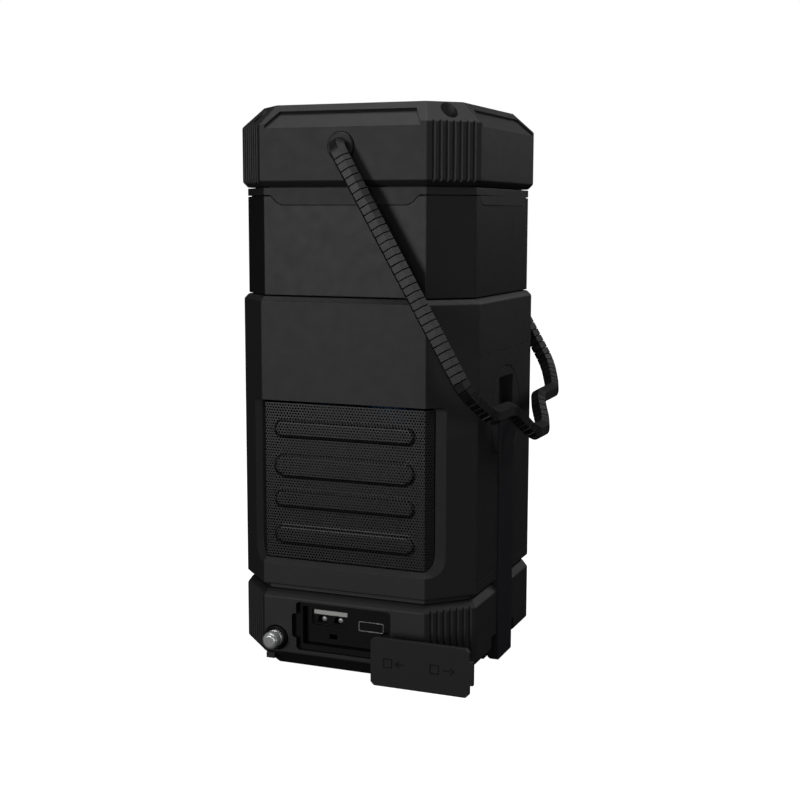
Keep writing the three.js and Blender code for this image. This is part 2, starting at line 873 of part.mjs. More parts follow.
function lightColumn() {
  const bottom = lensBottom + boardThickness + clearance;
  return prism('z', disc(0, 0, columnRadius), bottom, bottom + columnHeight);
}

// ---------- control side ----------

function displayWindow() {
  const inside = displayHalfWidth - clearance;
  return box(
    -inside, inside, halfWidth - displayThickness, halfWidth, displayBottom + clearance, displayTop - clearance,
  );
}

function pushButton() {
  const inner = halfWidth - wall - buttonFlange - clearance;
  return join(
    prism('y', disc(0, 0, buttonRadius), inner, halfWidth + buttonProud),
    prism('y', disc(0, 0, buttonRadius + buttonFlange), inner - buttonFlange, inner),
  );
}

function tuningDial() {
  const back = halfWidth - wall - dialShaftInside;
  return join(
    prism('y', disc(0, 0, dialRadius), halfWidth + clearance, halfWidth + dialProud, 14),
    prism('y', disc(0, 0, dialShaftRadius), back, halfWidth + dialProud),
  );
}

// ---------- lens, collar and cap ----------

// The trapezoid that hangs below the collar on one side, grown by a margin.
function tabOutline(margin) {
  const top = collarBottom + past;
  const bottom = collarBottom - tabDrop - margin;
  const lower = flatHalf - tabFromEdge + margin;
  const upper = lower + tabSlope;
  return [[-lower, bottom], [lower, bottom], [upper, collarBottom - margin], [upper, top], [-upper, top],
    [-upper, collarBottom - margin]];
}

function lanternLens() {
  const outer = storey([[lensBottom, lensInset], [lensTop, lensInset]]);
  const inner = storey([[lensBottom - past, lensInset + lensWall], [lensTop + past, lensInset + lensWall]]);
  const notch = prism('y', tabOutline(clearance), -halfWidth - past, -halfWidth + lensInset + lensWall + past);
  return cut(outer, inner, ...aroundSides(notch));
}

function collarBand() {
  const fit = lensInset + lensWall + clearance;
  const band = storey([[collarBottom, lensInset], [collarTop, lensInset]]);
  const spigot = storey([[collarBottom - spigotDown, fit], [collarTop + spigotUp, fit]]);
  const hollow = storey([
    [collarBottom - spigotDown - past, fit + spigotWall], [collarTop + spigotUp + past, fit + spigotWall],
  ]);
  const tab = prism('y', tabOutline(0), -halfWidth + lensInset, -halfWidth + lensInset + lensWall + past);
  const trimmed = cut(tab, box(-halfWidth, halfWidth, -halfWidth, 0, collarTop, collarTop + reach));
  const hole = atScrew(disc(0, 0, screwShankRadius + clearance), collarBottom - past, collarTop + reach);
  const solid = join(cut(join(band, spigot), hollow), ...aroundSides(trimmed), ...aroundSides(collarPost(0)));
  return cut(solid, ...aroundSides(hole));
}

// An outline pushed upwards at the place of the front right cap screw.
function atScrew(outline, bottom, top, curveSegments = 10, inset = screwInset) {
  const at = cornerPoint(inset);
  return prism('z', outline, bottom, top, curveSegments).translate(at, -at, 0);
}

// The front right post that takes a cap screw, grown by a margin.
function collarPost(margin) {
  const outline = disc(0, 0, screwShankRadius + bossWall + margin);
  return atScrew(outline, collarBottom, collarTop + spigotUp + margin, 10, screwInset + postInset);
}

// One shallow pocket in the sloping bevel of the front side.
function bevelPocket() {
  const slope = Math.atan2(capBevel, capBevelInset);
  const length = Math.hypot(capBevel, capBevelInset) * pocketRise;
  const lower = flatHalf - pocketFromEdge;
  const upper = flatHalf - pocketTopFromEdge;
  const outline = [
    [-lower, -past], [lower, -past], [upper, length], [-upper, length],
  ];
  return prism('z', outline, -pocketDepth, reach)
    .rotateX(slope)
    .translate(0, -halfWidth, capShoulder);
}

function topCap() {
  const shell = storey([
    [capBottom, capLipInset], [capBottom + capLipHeight, 0], [capShoulder, 0], [capTop, capBevelInset],
  ]);
  const hollowTop = capTop - capRoof;
  const hollow = storey([
    [capBottom - past, capWall], [capShoulder - capBevel / 2, capWall], [hollowTop, capWall + capBevelInset],
  ]);
  const seat = capShoulder + capBevel / 2 - screwHeadDepth;
  const post = atScrew(disc(0, 0, screwHeadRadius + bossWall), collarTop + spigotUp + clearance, seat);
  const boss = cut(post, beyondCapWalls());
  const counterbore = atScrew(disc(0, 0, screwHeadRadius + clearance), seat, capTop + reach, 12);
  const hole = atScrew(disc(0, 0, screwShankRadius + clearance), capBottom - past, seat + past);
  const pivot = prism('y', disc(0, pivotHeight, bushRadius + clearance), -halfWidth - past, halfWidth + past);
  return cut(
    join(cut(shell, hollow), ...aroundSides(boss)),
    ...aroundSides(counterbore), ...aroundSides(hole), ...aroundSides(bevelPocket()),
    ...aroundSides(collarPost(clearance)), pivot, ...cornerGrooves(capBottom - past, capShoulder),
  );
}

// Everything beyond the cap's side walls, to trim the posts that stand against them.
function beyondCapWalls() {
  const levels = [capBottom - past, capTop + past];
  const block = box(-2 * halfWidth, 2 * halfWidth, -2 * halfWidth, 2 * halfWidth, ...levels);
  return cut(block, storey(levels.map((z) => [z, capWall / 2])));
}

function capScrew() {
  const seat = capShoulder + capBevel / 2 - screwHeadDepth + screwSeatGap;
  const top = seat + screwHeadHeight;
  const head = prism('z', disc(0, 0, screwHeadRadius), seat, top);
  const shank = prism('z', disc(0, 0, screwShankRadius), seat - screwLength, seat + past / 2, 6);
  const key = prism('z', disc(0, 0, screwSocketRadius), top - screwSocketDepth, top + past, 3);
  return cut(join(head, shank), key);
}

// ---------- bail ----------

// Straight stretches through a list of corners in the bail's plane, each corner rounded off by its own bend.
function roundedRoute(corners) {
  const route = new THREE.CurvePath();
  const points = corners.map(([y, down]) => new THREE.Vector3(0, y, -down));
  let from = points[0];
  for (let turn = 1; turn < points.length - 1; turn += 1) {
    const corner = points[turn];
    const bend = corners[turn][2];
    const before = corner.clone().lerp(points[turn - 1], bend / corner.distanceTo(points[turn - 1]));
    const after = corner.clone().lerp(points[turn + 1], bend / corner.distanceTo(points[turn + 1]));
    route.add(new THREE.LineCurve3(from, before));
    route.add(new THREE.QuadraticBezierCurve3(before, corner, after));
    from = after;
  }
  route.add(new THREE.LineCurve3(from, points[points.length - 1]));
  return route;
}

function bailRoute(endY) {
  const half = [
    [endY, 0, 0], [bailHalf, 0, elbowBend], [bailHalf, gripRadius - gripShoulder, bailBend],
    [bailHalf - gripShoulder, gripRadius, bailBend], [kinkHalfTop, gripRadius, bailBend],
    [kinkHalfBottom, gripRadius + kinkDrop, bailBend],
  ];
  const mirrored = half.map(([y, down, bend]) => [-y, down, bend]).reverse();
  return roundedRoute([...half, ...mirrored]);
}

function sweep(radius, bore, sides, endY) {
  const rim = (r) => {
    const points = [];
    for (let side = 0; side < sides; side += 1) {
      const angle = 2 * Math.PI * side / sides;
      points.push(new THREE.Vector2(r * Math.cos(angle), r * Math.sin(angle)));
    }
    return points;
  };
  const shape = new THREE.Shape(rim(radius));
  if (bore > 0) shape.holes.push(new THREE.Path(rim(bore).reverse()));
  return new THREE.ExtrudeGeometry(shape, {
    steps: sweepSteps, extrudePath: bailRoute(endY), bevelEnabled: false,
  });
}

function bailSleeve() {
  return sweep(sleeveRadius, sleeveBore, 6, sleeveStart);
}

function bailWire() {
  return sweep(wireRadius, 0, 6, wireEnd);
}

function pivotBush() {
  const bore = wireRadius + clearance;
  const front = -halfWidth - bushProud;
  return prism('y', disc(0, 0, bushRadius, bore), front, -halfWidth + capWall, 12);
}

function wireRetainer() {
  const front = -halfWidth + capWall + clearance;
  const outline = disc(0, 0, retainerRadius, wireRadius + clearance);
  return prism('y', outline, front, front + retainerLength - 2 * clearance);
}

// ---------- assembly ----------

function piece(name, geometry, color, roughness, metalness = 0) {
  const mesh = new THREE.Mesh(geometry, new THREE.MeshStandardMaterial({ color, roughness, metalness }));
  mesh.name = name;
  return mesh;
}

function placed(mesh, x, y, z) {
  mesh.position.set(x, y, z);
  return mesh;
}

const black = '#2b2b2c';
const softBlack = '#232324';
const smoked = '#1c1c20';
const steel = '#c9cbcd';
const copper = '#a9794a';
const green = '#2f5a3c';

const group = new THREE.Group();

group.add(
  piece('base_pad', basePad(), '#1a1a1b', 0.9),
  piece('base_housing', baseHousing(), black, 0.55),
  piece('port_bezel', portBezel(), softBlack, 0.5),
  piece('usb_a_shell', usbAShell(), steel, 0.25, 1),
  piece('usb_a_tongue', usbATongue(), '#e8e8e6', 0.5),
  piece('usb_c_shell', usbCShell(), steel, 0.25, 1),
  piece('usb_c_tongue', usbCTongue(), '#151516', 0.5),
  piece('port_board', portBoard(), green, 0.6),
  piece('body_shell', bodyShell(), black, 0.55),
  piece('speaker_grille', speakerGrille(), '#1e1e1f', 0.45, 0.6),
  placed(piece('speaker_frame', speakerFrame(), '#3a3a3c', 0.5, 0.8), 0, 0, speakerZ),
  placed(piece('speaker_cone', speakerCone(), '#141415', 0.85), 0, 0, speakerZ),
  piece('speaker_magnet', speakerMagnet(), '#4a4a4e', 0.4, 1),
  piece('crank_cover_panel', crankCoverPanel(), '#272728', 0.55),
  piece('crank_hub', crankHub(), '#272728', 0.55),
  piece('crank_hinge_pin', crankHingePin(), steel, 0.3, 1),
  piece('crank_arm', crankArm(), '#1f1e22', 0.5),
  piece('knob_pin', knobPin(), steel, 0.3, 1),
  piece('crank_knob', crankKnob(), '#1b1b1c', 0.6),
  piece('crank_shaft', crankShaft(), steel, 0.3, 1),
  piece('drive_gear', driveGear(), '#d8d5c8', 0.5),
  piece('dynamo_pinion', dynamoPinion(), '#c2a25a', 0.4, 1),
  piece('gear_plate', gearPlate(), '#8e9094', 0.4, 1),
  piece('dynamo', dynamo(), copper, 0.4, 1),
  piece('main_board', mainBoard(), green, 0.6),
  piece('display_window', displayWindow(), '#0e0f12', 0.1),
  placed(piece('tuning_dial', tuningDial(), softBlack, 0.45), 0, 0, dialZ),
  piece('led_board', ledBoard(), '#dfe3e0', 0.5),
  piece('light_column', lightColumn(), '#efefea', 0.6),
  piece('lantern_lens', lanternLens(), smoked, 0.2),
  piece('collar_band', collarBand(), black, 0.5),
  piece('top_cap', topCap(), black, 0.55),
);

cellX.forEach((x, order) => {
  const cell = piece(`battery_cell_${order + 1}`, batteryCell(), '#3f6ea8', 0.4);
  group.add(placed(cell, x, cellY, bodyBottom + cellAboveBody));
});

buttonX.forEach((x, order) => {
  group.add(placed(piece(`push_button_${order + 1}`, pushButton(), softBlack, 0.6), x, 0, buttonZ));
});

['front_right', 'back_right', 'back_left', 'front_left'].forEach((corner, order) => {
  const at = cornerPoint(screwInset);
  const turn = new THREE.Group();
  turn.rotation.z = order * Math.PI / 2;
  turn.add(placed(piece(`cap_screw_${corner}`, capScrew(), steel, 0.25, 1), at, -at, 0));
  group.add(turn);
});

const antenna = placed(new THREE.Group(), antennaX, 0, antennaZ);
antenna.add(
  piece('antenna_socket', antennaSocket(), '#1b1b1c', 0.5),
  piece('antenna_tube', antennaTube(), steel, 0.3, 1),
  piece('antenna_section_1', antennaSection(0), steel, 0.2, 1),
  piece('antenna_section_2', antennaSection(1), steel, 0.2, 1),
  piece('antenna_section_3', antennaSection(2), steel, 0.2, 1),
  piece('antenna_tip', antennaTip(), '#dcdddd', 0.1, 1),
);
group.add(antenna);

const cover = placed(new THREE.Group(), stemX, -halfWidth - coverPull - coverThickness, stemZ);
cover.rotation.y = Math.PI;
cover.add(
  piece('port_cover', portCover(), '#262627', 0.6),
  piece('port_cover_stem', portCoverStem(), '#1c1c1d', 0.7),
);
group.add(cover);

const bail = placed(new THREE.Group(), 0, 0, pivotHeight);
bail.rotation.y = -bailAngle;
bail.add(
  piece('bail_sleeve', bailSleeve(), '#2a2a2d', 0.5),
  piece('bail_wire', bailWire(), steel, 0.35, 1),
);
['front', 'back'].forEach((side, order) => {
  const turn = placed(new THREE.Group(), 0, 0, pivotHeight);
  turn.rotation.z = order * Math.PI;
  turn.add(
    piece(`pivot_bush_${side}`, pivotBush(), '#242426', 0.4),
    piece(`wire_retainer_${side}`, wireRetainer(), steel, 0.35, 1),
  );
  group.add(turn);
});
group.add(bail);

export default group;
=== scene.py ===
import math
import random

import bmesh
import bpy
from mathutils import Matrix, Quaternion, Vector


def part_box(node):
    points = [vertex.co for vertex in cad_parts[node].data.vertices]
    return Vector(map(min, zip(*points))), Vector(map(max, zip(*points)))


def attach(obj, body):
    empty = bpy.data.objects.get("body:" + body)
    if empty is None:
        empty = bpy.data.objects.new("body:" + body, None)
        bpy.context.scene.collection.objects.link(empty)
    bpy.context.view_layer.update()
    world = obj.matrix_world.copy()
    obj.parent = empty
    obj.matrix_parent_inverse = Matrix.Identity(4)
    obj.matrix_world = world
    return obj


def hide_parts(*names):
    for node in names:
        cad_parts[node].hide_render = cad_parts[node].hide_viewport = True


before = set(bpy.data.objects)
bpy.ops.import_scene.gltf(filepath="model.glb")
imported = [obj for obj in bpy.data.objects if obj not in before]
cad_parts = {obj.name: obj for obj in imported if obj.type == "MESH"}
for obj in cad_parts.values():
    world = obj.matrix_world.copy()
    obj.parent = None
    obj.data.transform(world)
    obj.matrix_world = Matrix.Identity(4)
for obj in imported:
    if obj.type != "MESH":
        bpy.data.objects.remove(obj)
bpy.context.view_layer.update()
mm = 0.001          # the sizes in the dictionaries are millimetres
random.seed(7)

print("frame loaded")


# --- hand tools ---

def boxOf(node):
    low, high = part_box(node)
    return low / mm, high / mm


def useOnly(*pieces):
    if bpy.context.mode != 'OBJECT':
        bpy.ops.object.mode_set(mode='OBJECT')
    bpy.ops.object.select_all(action='DESELECT')
    for piece in pieces:
        piece.select_set(True)
    bpy.context.view_layer.objects.active = pieces[0]


def settle(name):
    piece = bpy.context.object
    piece.name = piece.data.name = name
    bpy.ops.object.transform_apply(location=True, rotation=True, scale=True)
    return piece


def addBlock(name, low, high):
    low, high = Vector(low), Vector(high)
    bpy.ops.mesh.primitive_cube_add(size=1, location=(low + high) / 2 * mm)
    bpy.context.object.scale = (high - low) * mm
    return settle(name)


def addRod(name, start, end, radius, sides=32, turn=0):
    start, end = Vector(start), Vector(end)
    along = end - start
    bpy.ops.mesh.primitive_cylinder_add(vertices=sides, radius=radius * mm, depth=along.length * mm,
                                        location=(start + end) / 2 * mm)
    rod = bpy.context.object
    rod.rotation_mode = 'QUATERNION'
    rod.rotation_quaternion = along.to_track_quat('Z', 'Y') @ Quaternion((0, 0, 1), math.radians(turn))
    return settle(name)


def straightRod(axis, name, start, end, spot, radius, sides=32, turn=0):
    # a rod along one axis; the spot is its place on the other two
    ends = []
    for along in (start, end):
        place = list(spot)
        place.insert('XYZ'.index(axis), along)
        ends.append(place)
    return addRod(name, *ends, radius, sides, turn)


def pick(piece, kind, rule):
    # opens the piece in edit mode with only what the rule names selected
    useOnly(piece)
    bpy.ops.object.mode_set(mode='EDIT')
    bpy.context.tool_settings.mesh_select_mode = [kind == part for part in ('VERT', 'EDGE', 'FACE')]
    bpy.ops.mesh.select_all(action='DESELECT')
    mesh = bmesh.from_edit_mesh(piece.data)
    mesh.normal_update()
    parts = {'VERT': mesh.verts, 'EDGE': mesh.edges, 'FACE': mesh.faces}[kind]
    for part in parts:
        if rule(part):
            part.select_set(True)
    mesh.select_flush_mode()
    bmesh.update_edit_mesh(piece.data)


def done():
    bpy.ops.object.mode_set(mode='OBJECT')


def middle(part):
    # the place of a face or an edge
    points = [vert.co for vert in part.verts]
    return sum(points, Vector()) / len(points) / mm


def heading(edge):
    return (edge.verts[1].co - edge.verts[0].co).normalized()


def push(move):
    bpy.ops.mesh.extrude_region_move(TRANSFORM_OT_translate={"value": Vector(move) * mm})


def applied(piece, kind, **settings):
    useOnly(piece)
    modifier = piece.modifiers.new(kind.lower(), kind)
    for key, value in settings.items():
        setattr(modifier, key, value)
    bpy.ops.object.modifier_apply(modifier=modifier.name)
    return piece


def cutWith(piece, *tools, operation='DIFFERENCE'):
    for tool in tools:
        applied(piece, 'BOOLEAN', operation=operation, solver='EXACT', object=tool)
        bpy.data.objects.remove(tool)
    return piece


def joinWith(piece, *others):
    return cutWith(piece, *others, operation='UNION')


def roundEdges(piece, width, segments=2, angle=30):
    return applied(piece, 'BEVEL', width=width * mm, segments=segments, limit_method='ANGLE',
                   angle_limit=math.radians(angle), use_clamp_overlap=True, miter_outer='MITER_ARC')


def merged(name, *pieces):
    # one mesh of several that do not touch
    useOnly(*pieces)
    bpy.ops.object.join()
    return settle(name)


def ownCopy(piece):
    copy = piece.copy()
    copy.data = piece.data.copy()
    bpy.context.collection.objects.link(copy)
    return copy


def quarterTurns(piece):
    # copies round the upright axis, each with its own mesh
    copies = [piece]
    for turn in (1, 2, 3):
        copy = ownCopy(piece)
        copy.data.transform(Matrix.Rotation(turn * math.pi / 2, 4, 'Z'))
        copies.append(copy)
    return copies


def paintShadeInside(piece, finish, low, high):
    # painted shade: the faces of a hollow in the front, but not its rim, get a darker finish that stands in for the
    # shade inside it
    piece.data.materials.append(finishes[finish])
    for face in piece.data.polygons:
        spot = face.center / mm
        under = min(halfWidth + spot.y, (halfWidth + flatHalf - abs(spot.x) + spot.y) * math.sqrt(0.5))
        if under > 0.1 and all(start < value < end for start, value, end in zip(low, spot, high)):
            face.material_index = len(piece.data.materials) - 1


def fit(piece, body, finish, *nodes, smooth=35):
    useOnly(piece)
    bpy.ops.object.shade_smooth_by_angle(angle=math.radians(smooth))
    applied(piece, 'WEIGHTED_NORMAL', weight=100, keep_sharp=True)
    piece.data.materials.clear()
    piece.data.materials.append(finishes[finish])
    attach(piece, body)
    if nodes:
        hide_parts(*nodes)
    return piece


# --- finishes ---

finishes, slots = {}, {}


def startFinish(name, slot):
    material = bpy.data.materials.new(name)
    material.use_nodes = True
    tree = material.node_tree
    shader = tree.nodes["Principled BSDF"]
    coords = tree.nodes.new("ShaderNodeTexCoord")
    finishes[name], slots[name] = material, slot
    return tree, shader, coords.outputs["Object"]


def addNoise(tree, coords, scale, detail=2, rough=0.5):
    noise = tree.nodes.new("ShaderNodeTexNoise")
    noise.inputs["Scale"].default_value = scale
    noise.inputs["Detail"].default_value = detail
    noise.inputs["Roughness"].default_value = rough
    tree.links.new(coords, noise.inputs["Vector"])
    return noise.outputs["Fac"]


def addRange(tree, value, low, high, fromLow=0.3, fromHigh=0.7):
    spread = tree.nodes.new("ShaderNodeMapRange")
    for socket, number in (("From Min", fromLow), ("From Max", fromHigh), ("To Min", low), ("To Max", high)):
        spread.inputs[socket].default_value = number
    tree.links.new(value, spread.inputs["Value"])
    return spread.outputs["Result"]


def addMix(tree, share, first, second):
    mix = tree.nodes.new("ShaderNodeMix")
    mix.data_type = 'RGBA'
    tree.links.new(share, mix.inputs["Factor"])
    for socket, value in ((mix.inputs[6], first), (mix.inputs[7], second)):
        if isinstance(value, bpy.types.NodeSocket):
            tree.links.new(value, socket)
        else:
            socket.default_value = (*value, 1)
    return mix.outputs[2]


def addBevel(tree, width):
    bevel = tree.nodes.new("ShaderNodeBevel")
    bevel.samples = 4
    bevel.inputs["Radius"].default_value = width * mm
    return bevel.outputs["Normal"]


def addWear(tree, width):
    # 0 on flat faces, up to 1 along the sharp edges
    plain = tree.nodes.new("ShaderNodeNewGeometry")
    dot = tree.nodes.new("ShaderNodeVectorMath")
    dot.operation = 'DOT_PRODUCT'
    tree.links.new(addBevel(tree, width), dot.inputs[0])
    tree.links.new(plain.outputs["Normal"], dot.inputs[1])
    return addRange(tree, dot.outputs["Value"], 1, 0, 0.8, 0.995)


def addBump(tree, shader, height, strength, depth, edge=0):
    bump = tree.nodes.new("ShaderNodeBump")
    bump.inputs["Strength"].default_value = strength
    bump.inputs["Distance"].default_value = depth * mm
    tree.links.new(height, bump.inputs["Height"])
    if edge:
        tree.links.new(addBevel(tree, edge), bump.inputs["Normal"])
    tree.links.new(bump.outputs["Normal"], shader.inputs["Normal"])


def moulded(name, slot, colour, rough, grain=2600, depth=0.05, gloss=0.5, patches=0.03, wear=0.35, edge=0.12,
            strength=0.5):
    tree, shader, coords = startFinish(name, slot)
    dark = [part * (1 - patches) for part in colour]
    light = [part * (1 + patches) for part in colour]
    worn = [min(1, part * (1 + wear) + 0.004 * wear) for part in colour]
    base = addMix(tree, addRange(tree, addNoise(tree, coords, 140, 4), 0, 1), dark, light)
    tree.links.new(addMix(tree, addWear(tree, 0.35), base, worn), shader.inputs["Base Color"])
    tree.links.new(addRange(tree, addNoise(tree, coords, 240, 3), rough - 0.02, rough + 0.02),
                   shader.inputs["Roughness"])
    addBump(tree, shader, addNoise(tree, coords, grain, 2, 0.6), strength, depth, edge)
    shader.inputs["Specular IOR Level"].default_value = gloss


def metal(name, slot, colour, rough, brushed=(1, 1, 1), depth=0.01, scratch=500, metalShare=1.0):
    tree, shader, coords = startFinish(name, slot)
    mapping = tree.nodes.new("ShaderNodeMapping")
    mapping.inputs["Scale"].default_value = brushed
    tree.links.new(coords, mapping.inputs["Vector"])
    lines = addNoise(tree, mapping.outputs["Vector"], scratch, 4, 0.7)
    dull = [part * 0.85 for part in colour]
    tree.links.new(addMix(tree, addRange(tree, addNoise(tree, coords, 120, 3), 0, 1), dull, colour),
                   shader.inputs["Base Color"])
    tree.links.new(addRange(tree, lines, rough * 0.7, rough * 1.4), shader.inputs["Roughness"])
    addBump(tree, shader, lines, 0.3, depth, 0.08)
    # where metalShare is below 1, part of the base colour is lit as diffuse colour: a painted reflection standing in
    # for the bright surroundings, which glossy rays do not see
    shader.inputs["Metallic"].default_value = metalShare


moulded("shellPlastic", "shell_plastic", (0.022, 0.022, 0.0225), 0.55)
moulded("panelPlastic", "panel_plastic", (0.020, 0.020, 0.0205), 0.55)
moulded("bezelPlastic", "bezel_plastic", (0.006, 0.006, 0.0065), 0.6, depth=0.02, gloss=0.2)
moulded("armPlastic", "arm_plastic", (0.019, 0.0175, 0.0225), 0.5, depth=0.03)
moulded("smokedPlastic", "smoked_plastic", (0.0092, 0.009, 0.0105), 0.5, depth=0.008, grain=3500, wear=0.15)
moulded("smokedCorner", "smoked_plastic", (0.0105, 0.0105, 0.0112), 0.5, depth=0.008, grain=3500, wear=0.15)
moulded("windowPlastic", "window_plastic", (0.006, 0.0065, 0.008), 0.12, depth=0.003, grain=400, wear=0.1)
moulded("whitePlastic", "white_plastic", (0.75, 0.75, 0.73), 0.45, depth=0.01, wear=0.05, patches=0.04)
moulded("gearPlastic", "gear_plastic", (0.66, 0.64, 0.56), 0.5, depth=0.02, wear=0.05, patches=0.05)
moulded("padRubber", "rubber_pad", (0.012, 0.012, 0.012), 0.85, depth=0.06, gloss=0.3, wear=0.2)
moulded("coverRubber", "cover_rubber", (0.019, 0.019, 0.019), 0.62, depth=0.04, gloss=0.4, wear=0.3)
moulded("markRubber", "cover_rubber", (0.006, 0.006, 0.006), 0.7, depth=0.03, gloss=0.3, wear=0.1)
moulded("buttonRubber", "button_rubber", (0.018, 0.018, 0.019), 0.7, depth=0.04, gloss=0.4)
moulded("sleeveRubber", "sleeve_rubber", (0.0085, 0.0083, 0.0095), 0.45, depth=0.02, wear=0.9, edge=0)
moulded("grillePaint", "grille_metal", (0.0185, 0.0185, 0.019), 0.42, depth=0.01, gloss=0.5, wear=0, edge=0)
moulded("coneBlack", "cone_black", (0.0012, 0.0012, 0.0012), 0.95, depth=0.08, gloss=0.02, wear=0, edge=0)
moulded("cellWrap", "cell_wrap", (0.05, 0.16, 0.39), 0.35, depth=0.01, wear=0.1)
moulded("boardGreen", "board_green", (0.03, 0.10, 0.05), 0.4, depth=0.03, grain=900, patches=0.3)
metal("frameSteel", "frame_steel", (0.4, 0.4, 0.42), 0.35)
moulded("frameCoat", "frame_steel", (0.0012, 0.0012, 0.0012), 0.8, depth=0.02, gloss=0.02, wear=0, edge=0)
metal("pinSteel", "pin_steel", (0.58, 0.6, 0.6), 0.3, (1, 1, 12))
metal("screwSteel", "screw_steel", (0.58, 0.6, 0.6), 0.3, (1, 1, 8), metalShare=0.6)
metal("connectorSteel", "connector_steel", (0.80, 0.81, 0.82), 0.25, (1, 9, 1), metalShare=0.6)
# painted shade: a dark copy of the connector steel, for the USB-A shell, standing in for the shade inside the socket
metal("connectorPaintedShade", "connector_steel", (0.05, 0.05, 0.052), 0.5)
# painted reflection: the antenna's bright base colour is half diffuse, standing in for the white surroundings its
# chrome would reflect
metal("antennaChrome", "antenna_chrome", (0.86, 0.87, 0.87), 0.26, (9, 1, 9), depth=0.003, metalShare=0.5)
metal("dynamoSteel", "dynamo_steel", (0.4, 0.3, 0.2), 0.35, (6, 1, 1))
metal("magnetIron", "magnet_iron", (0.07, 0.07, 0.08), 0.5, depth=0.04)
metal("pinionBrass", "pinion_brass", (0.54, 0.37, 0.11), 0.3)

print("finishes ready:", len(finishes))


# --- the plan that every storey shares ---

halfWidth = boxOf("body_shell")[1].x
seam = 0.3          # between one storey and the next
cornerCut = 13.3
flatHalf = halfWidth - cornerCut
cornerFace = (2 * halfWidth - cornerCut) / math.sqrt(2)


def flatOf(inset, cornerInset=None):
    # half the width of a flat side of the octagon at that inset
    return (cornerFace - (inset if cornerInset is None else cornerInset)) * math.sqrt(2) - (halfWidth - inset)


def octagonBlock(name, bottom, top, inset=0.0, up=(), down=()):
    # an eight-sided block, then its top and its underside taken further: each step is an inset and a rise
    side = halfWidth - inset
    block = addBlock(name, (-side, -side, bottom), (side, side, top))
    pick(block, 'EDGE', lambda edge: abs(heading(edge).z) > 0.9)
    bpy.ops.mesh.bevel(offset=(side - flatOf(inset)) * mm, segments=1, affect='EDGES')
    for steps, facing in ((up, 1), (down, -1)):
        pick(block, 'FACE', lambda face: face.normal.z * facing > 0.9)
        for stepInset, rise in steps:
            if stepInset:
                bpy.ops.mesh.inset(thickness=stepInset * mm)
                bpy.ops.transform.translate(value=(0, 0, rise * facing * mm))
            else:
                push((0, 0, rise * facing))
    done()
    return block


def cornerGrooves(sizes, bottom, top):
    # square bars stood on edge, whose inner edges leave a V in the corner faces
    bars = []
    half = sizes["reach"]
    for count in range(sizes["count"]):
        along = (count - (sizes["count"] - 1) / 2) * sizes["pitch"]
        centre = Vector((cornerFace - sizes["depth"] + half, along, (bottom + top) / 2))
        bar = addRod("grooveBar", centre - Vector((0, 0, (top - bottom) / 2)),
                     centre + Vector((0, 0, (top - bottom) / 2)), half, 4)
        bar.data.transform(Matrix.Rotation(math.pi / 4, 4, 'Z'))
        bars += quarterTurns(bar)
    return merged("grooveBars", *bars)


grooves = {"count": 7, "pitch": 2.35, "depth": 0.62, "reach": 1.1}
channel = {"half": 7.7, "floor": 38.55, "lining": 1.6, "panelBottom": 34.7}


# --- base ---

base = {
    "chamferTop": 7.2, "chamferInset": 9.0, "chamferCorner": 7.3, "bevelHeight": 2.5, "bevelInset": 1.7,
    "neckInset": 2.7, "wall": 4.8, "floor": 3.9, "edgeRound": 0.35, "recessRound": 1.3,
    "notchHalf": 13.0, "notchTop": 11.4, "shoulderDrop": 1.8, "hollowSlope": 2.4, "channelTop": 22.6,
    "pocketInner": 25.5, "pocketLow": 4.6, "pocketHigh": 21.0, "padHalf": 29.8, "padDeep": 1.5,
}
antenna = {"x": -24.6, "z": 12.1, "tip": 2.9, "neck": 2.05, "dome": 1.5, "ring": 4.1, "bore": 3.1, "ringRound": 0.45,
           "seat": 4.4, "bevel": 0.12, "domeSteps": 6}

port = {
    "left": -17.1, "right": 17.3, "stemX": 15.4, "stemZ": 14.2, "guideRadius": 2.9,
    "usbA": (-6.4, 19.7, 13.1, 5.4), "usbC": (8.65, 18.2, 9.0, 3.4), "lamp": (-5.2, 13.3, 2.8, 1.6),
    "pinHole": (8.9, 12.6, 0.5), "bezelFront": -38.5, "bezelBack": -37.0, "shellWall": 0.22, "edgeRound": 0.12,
    "bottom": 8.7, "top": 25.4, "deep": 1.8, "rim": 1.7, "rimRound": 0.6, "stemBore": 1.5,
    "pullOut": 1.6, "pullHalf": 4.2, "pullRound": 1.0,
}


def roundedBlock(name, low, high, radius, axis='Y', segments=5):
    # a block whose edges along one axis are rounded
    block = addBlock(name, low, high)
    index = 'XYZ'.index(axis)
    pick(block, 'EDGE', lambda edge: abs(heading(edge)[index]) > 0.9)
    bpy.ops.mesh.bevel(offset=radius * mm, segments=segments, affect='EDGES')
    done()
    return block


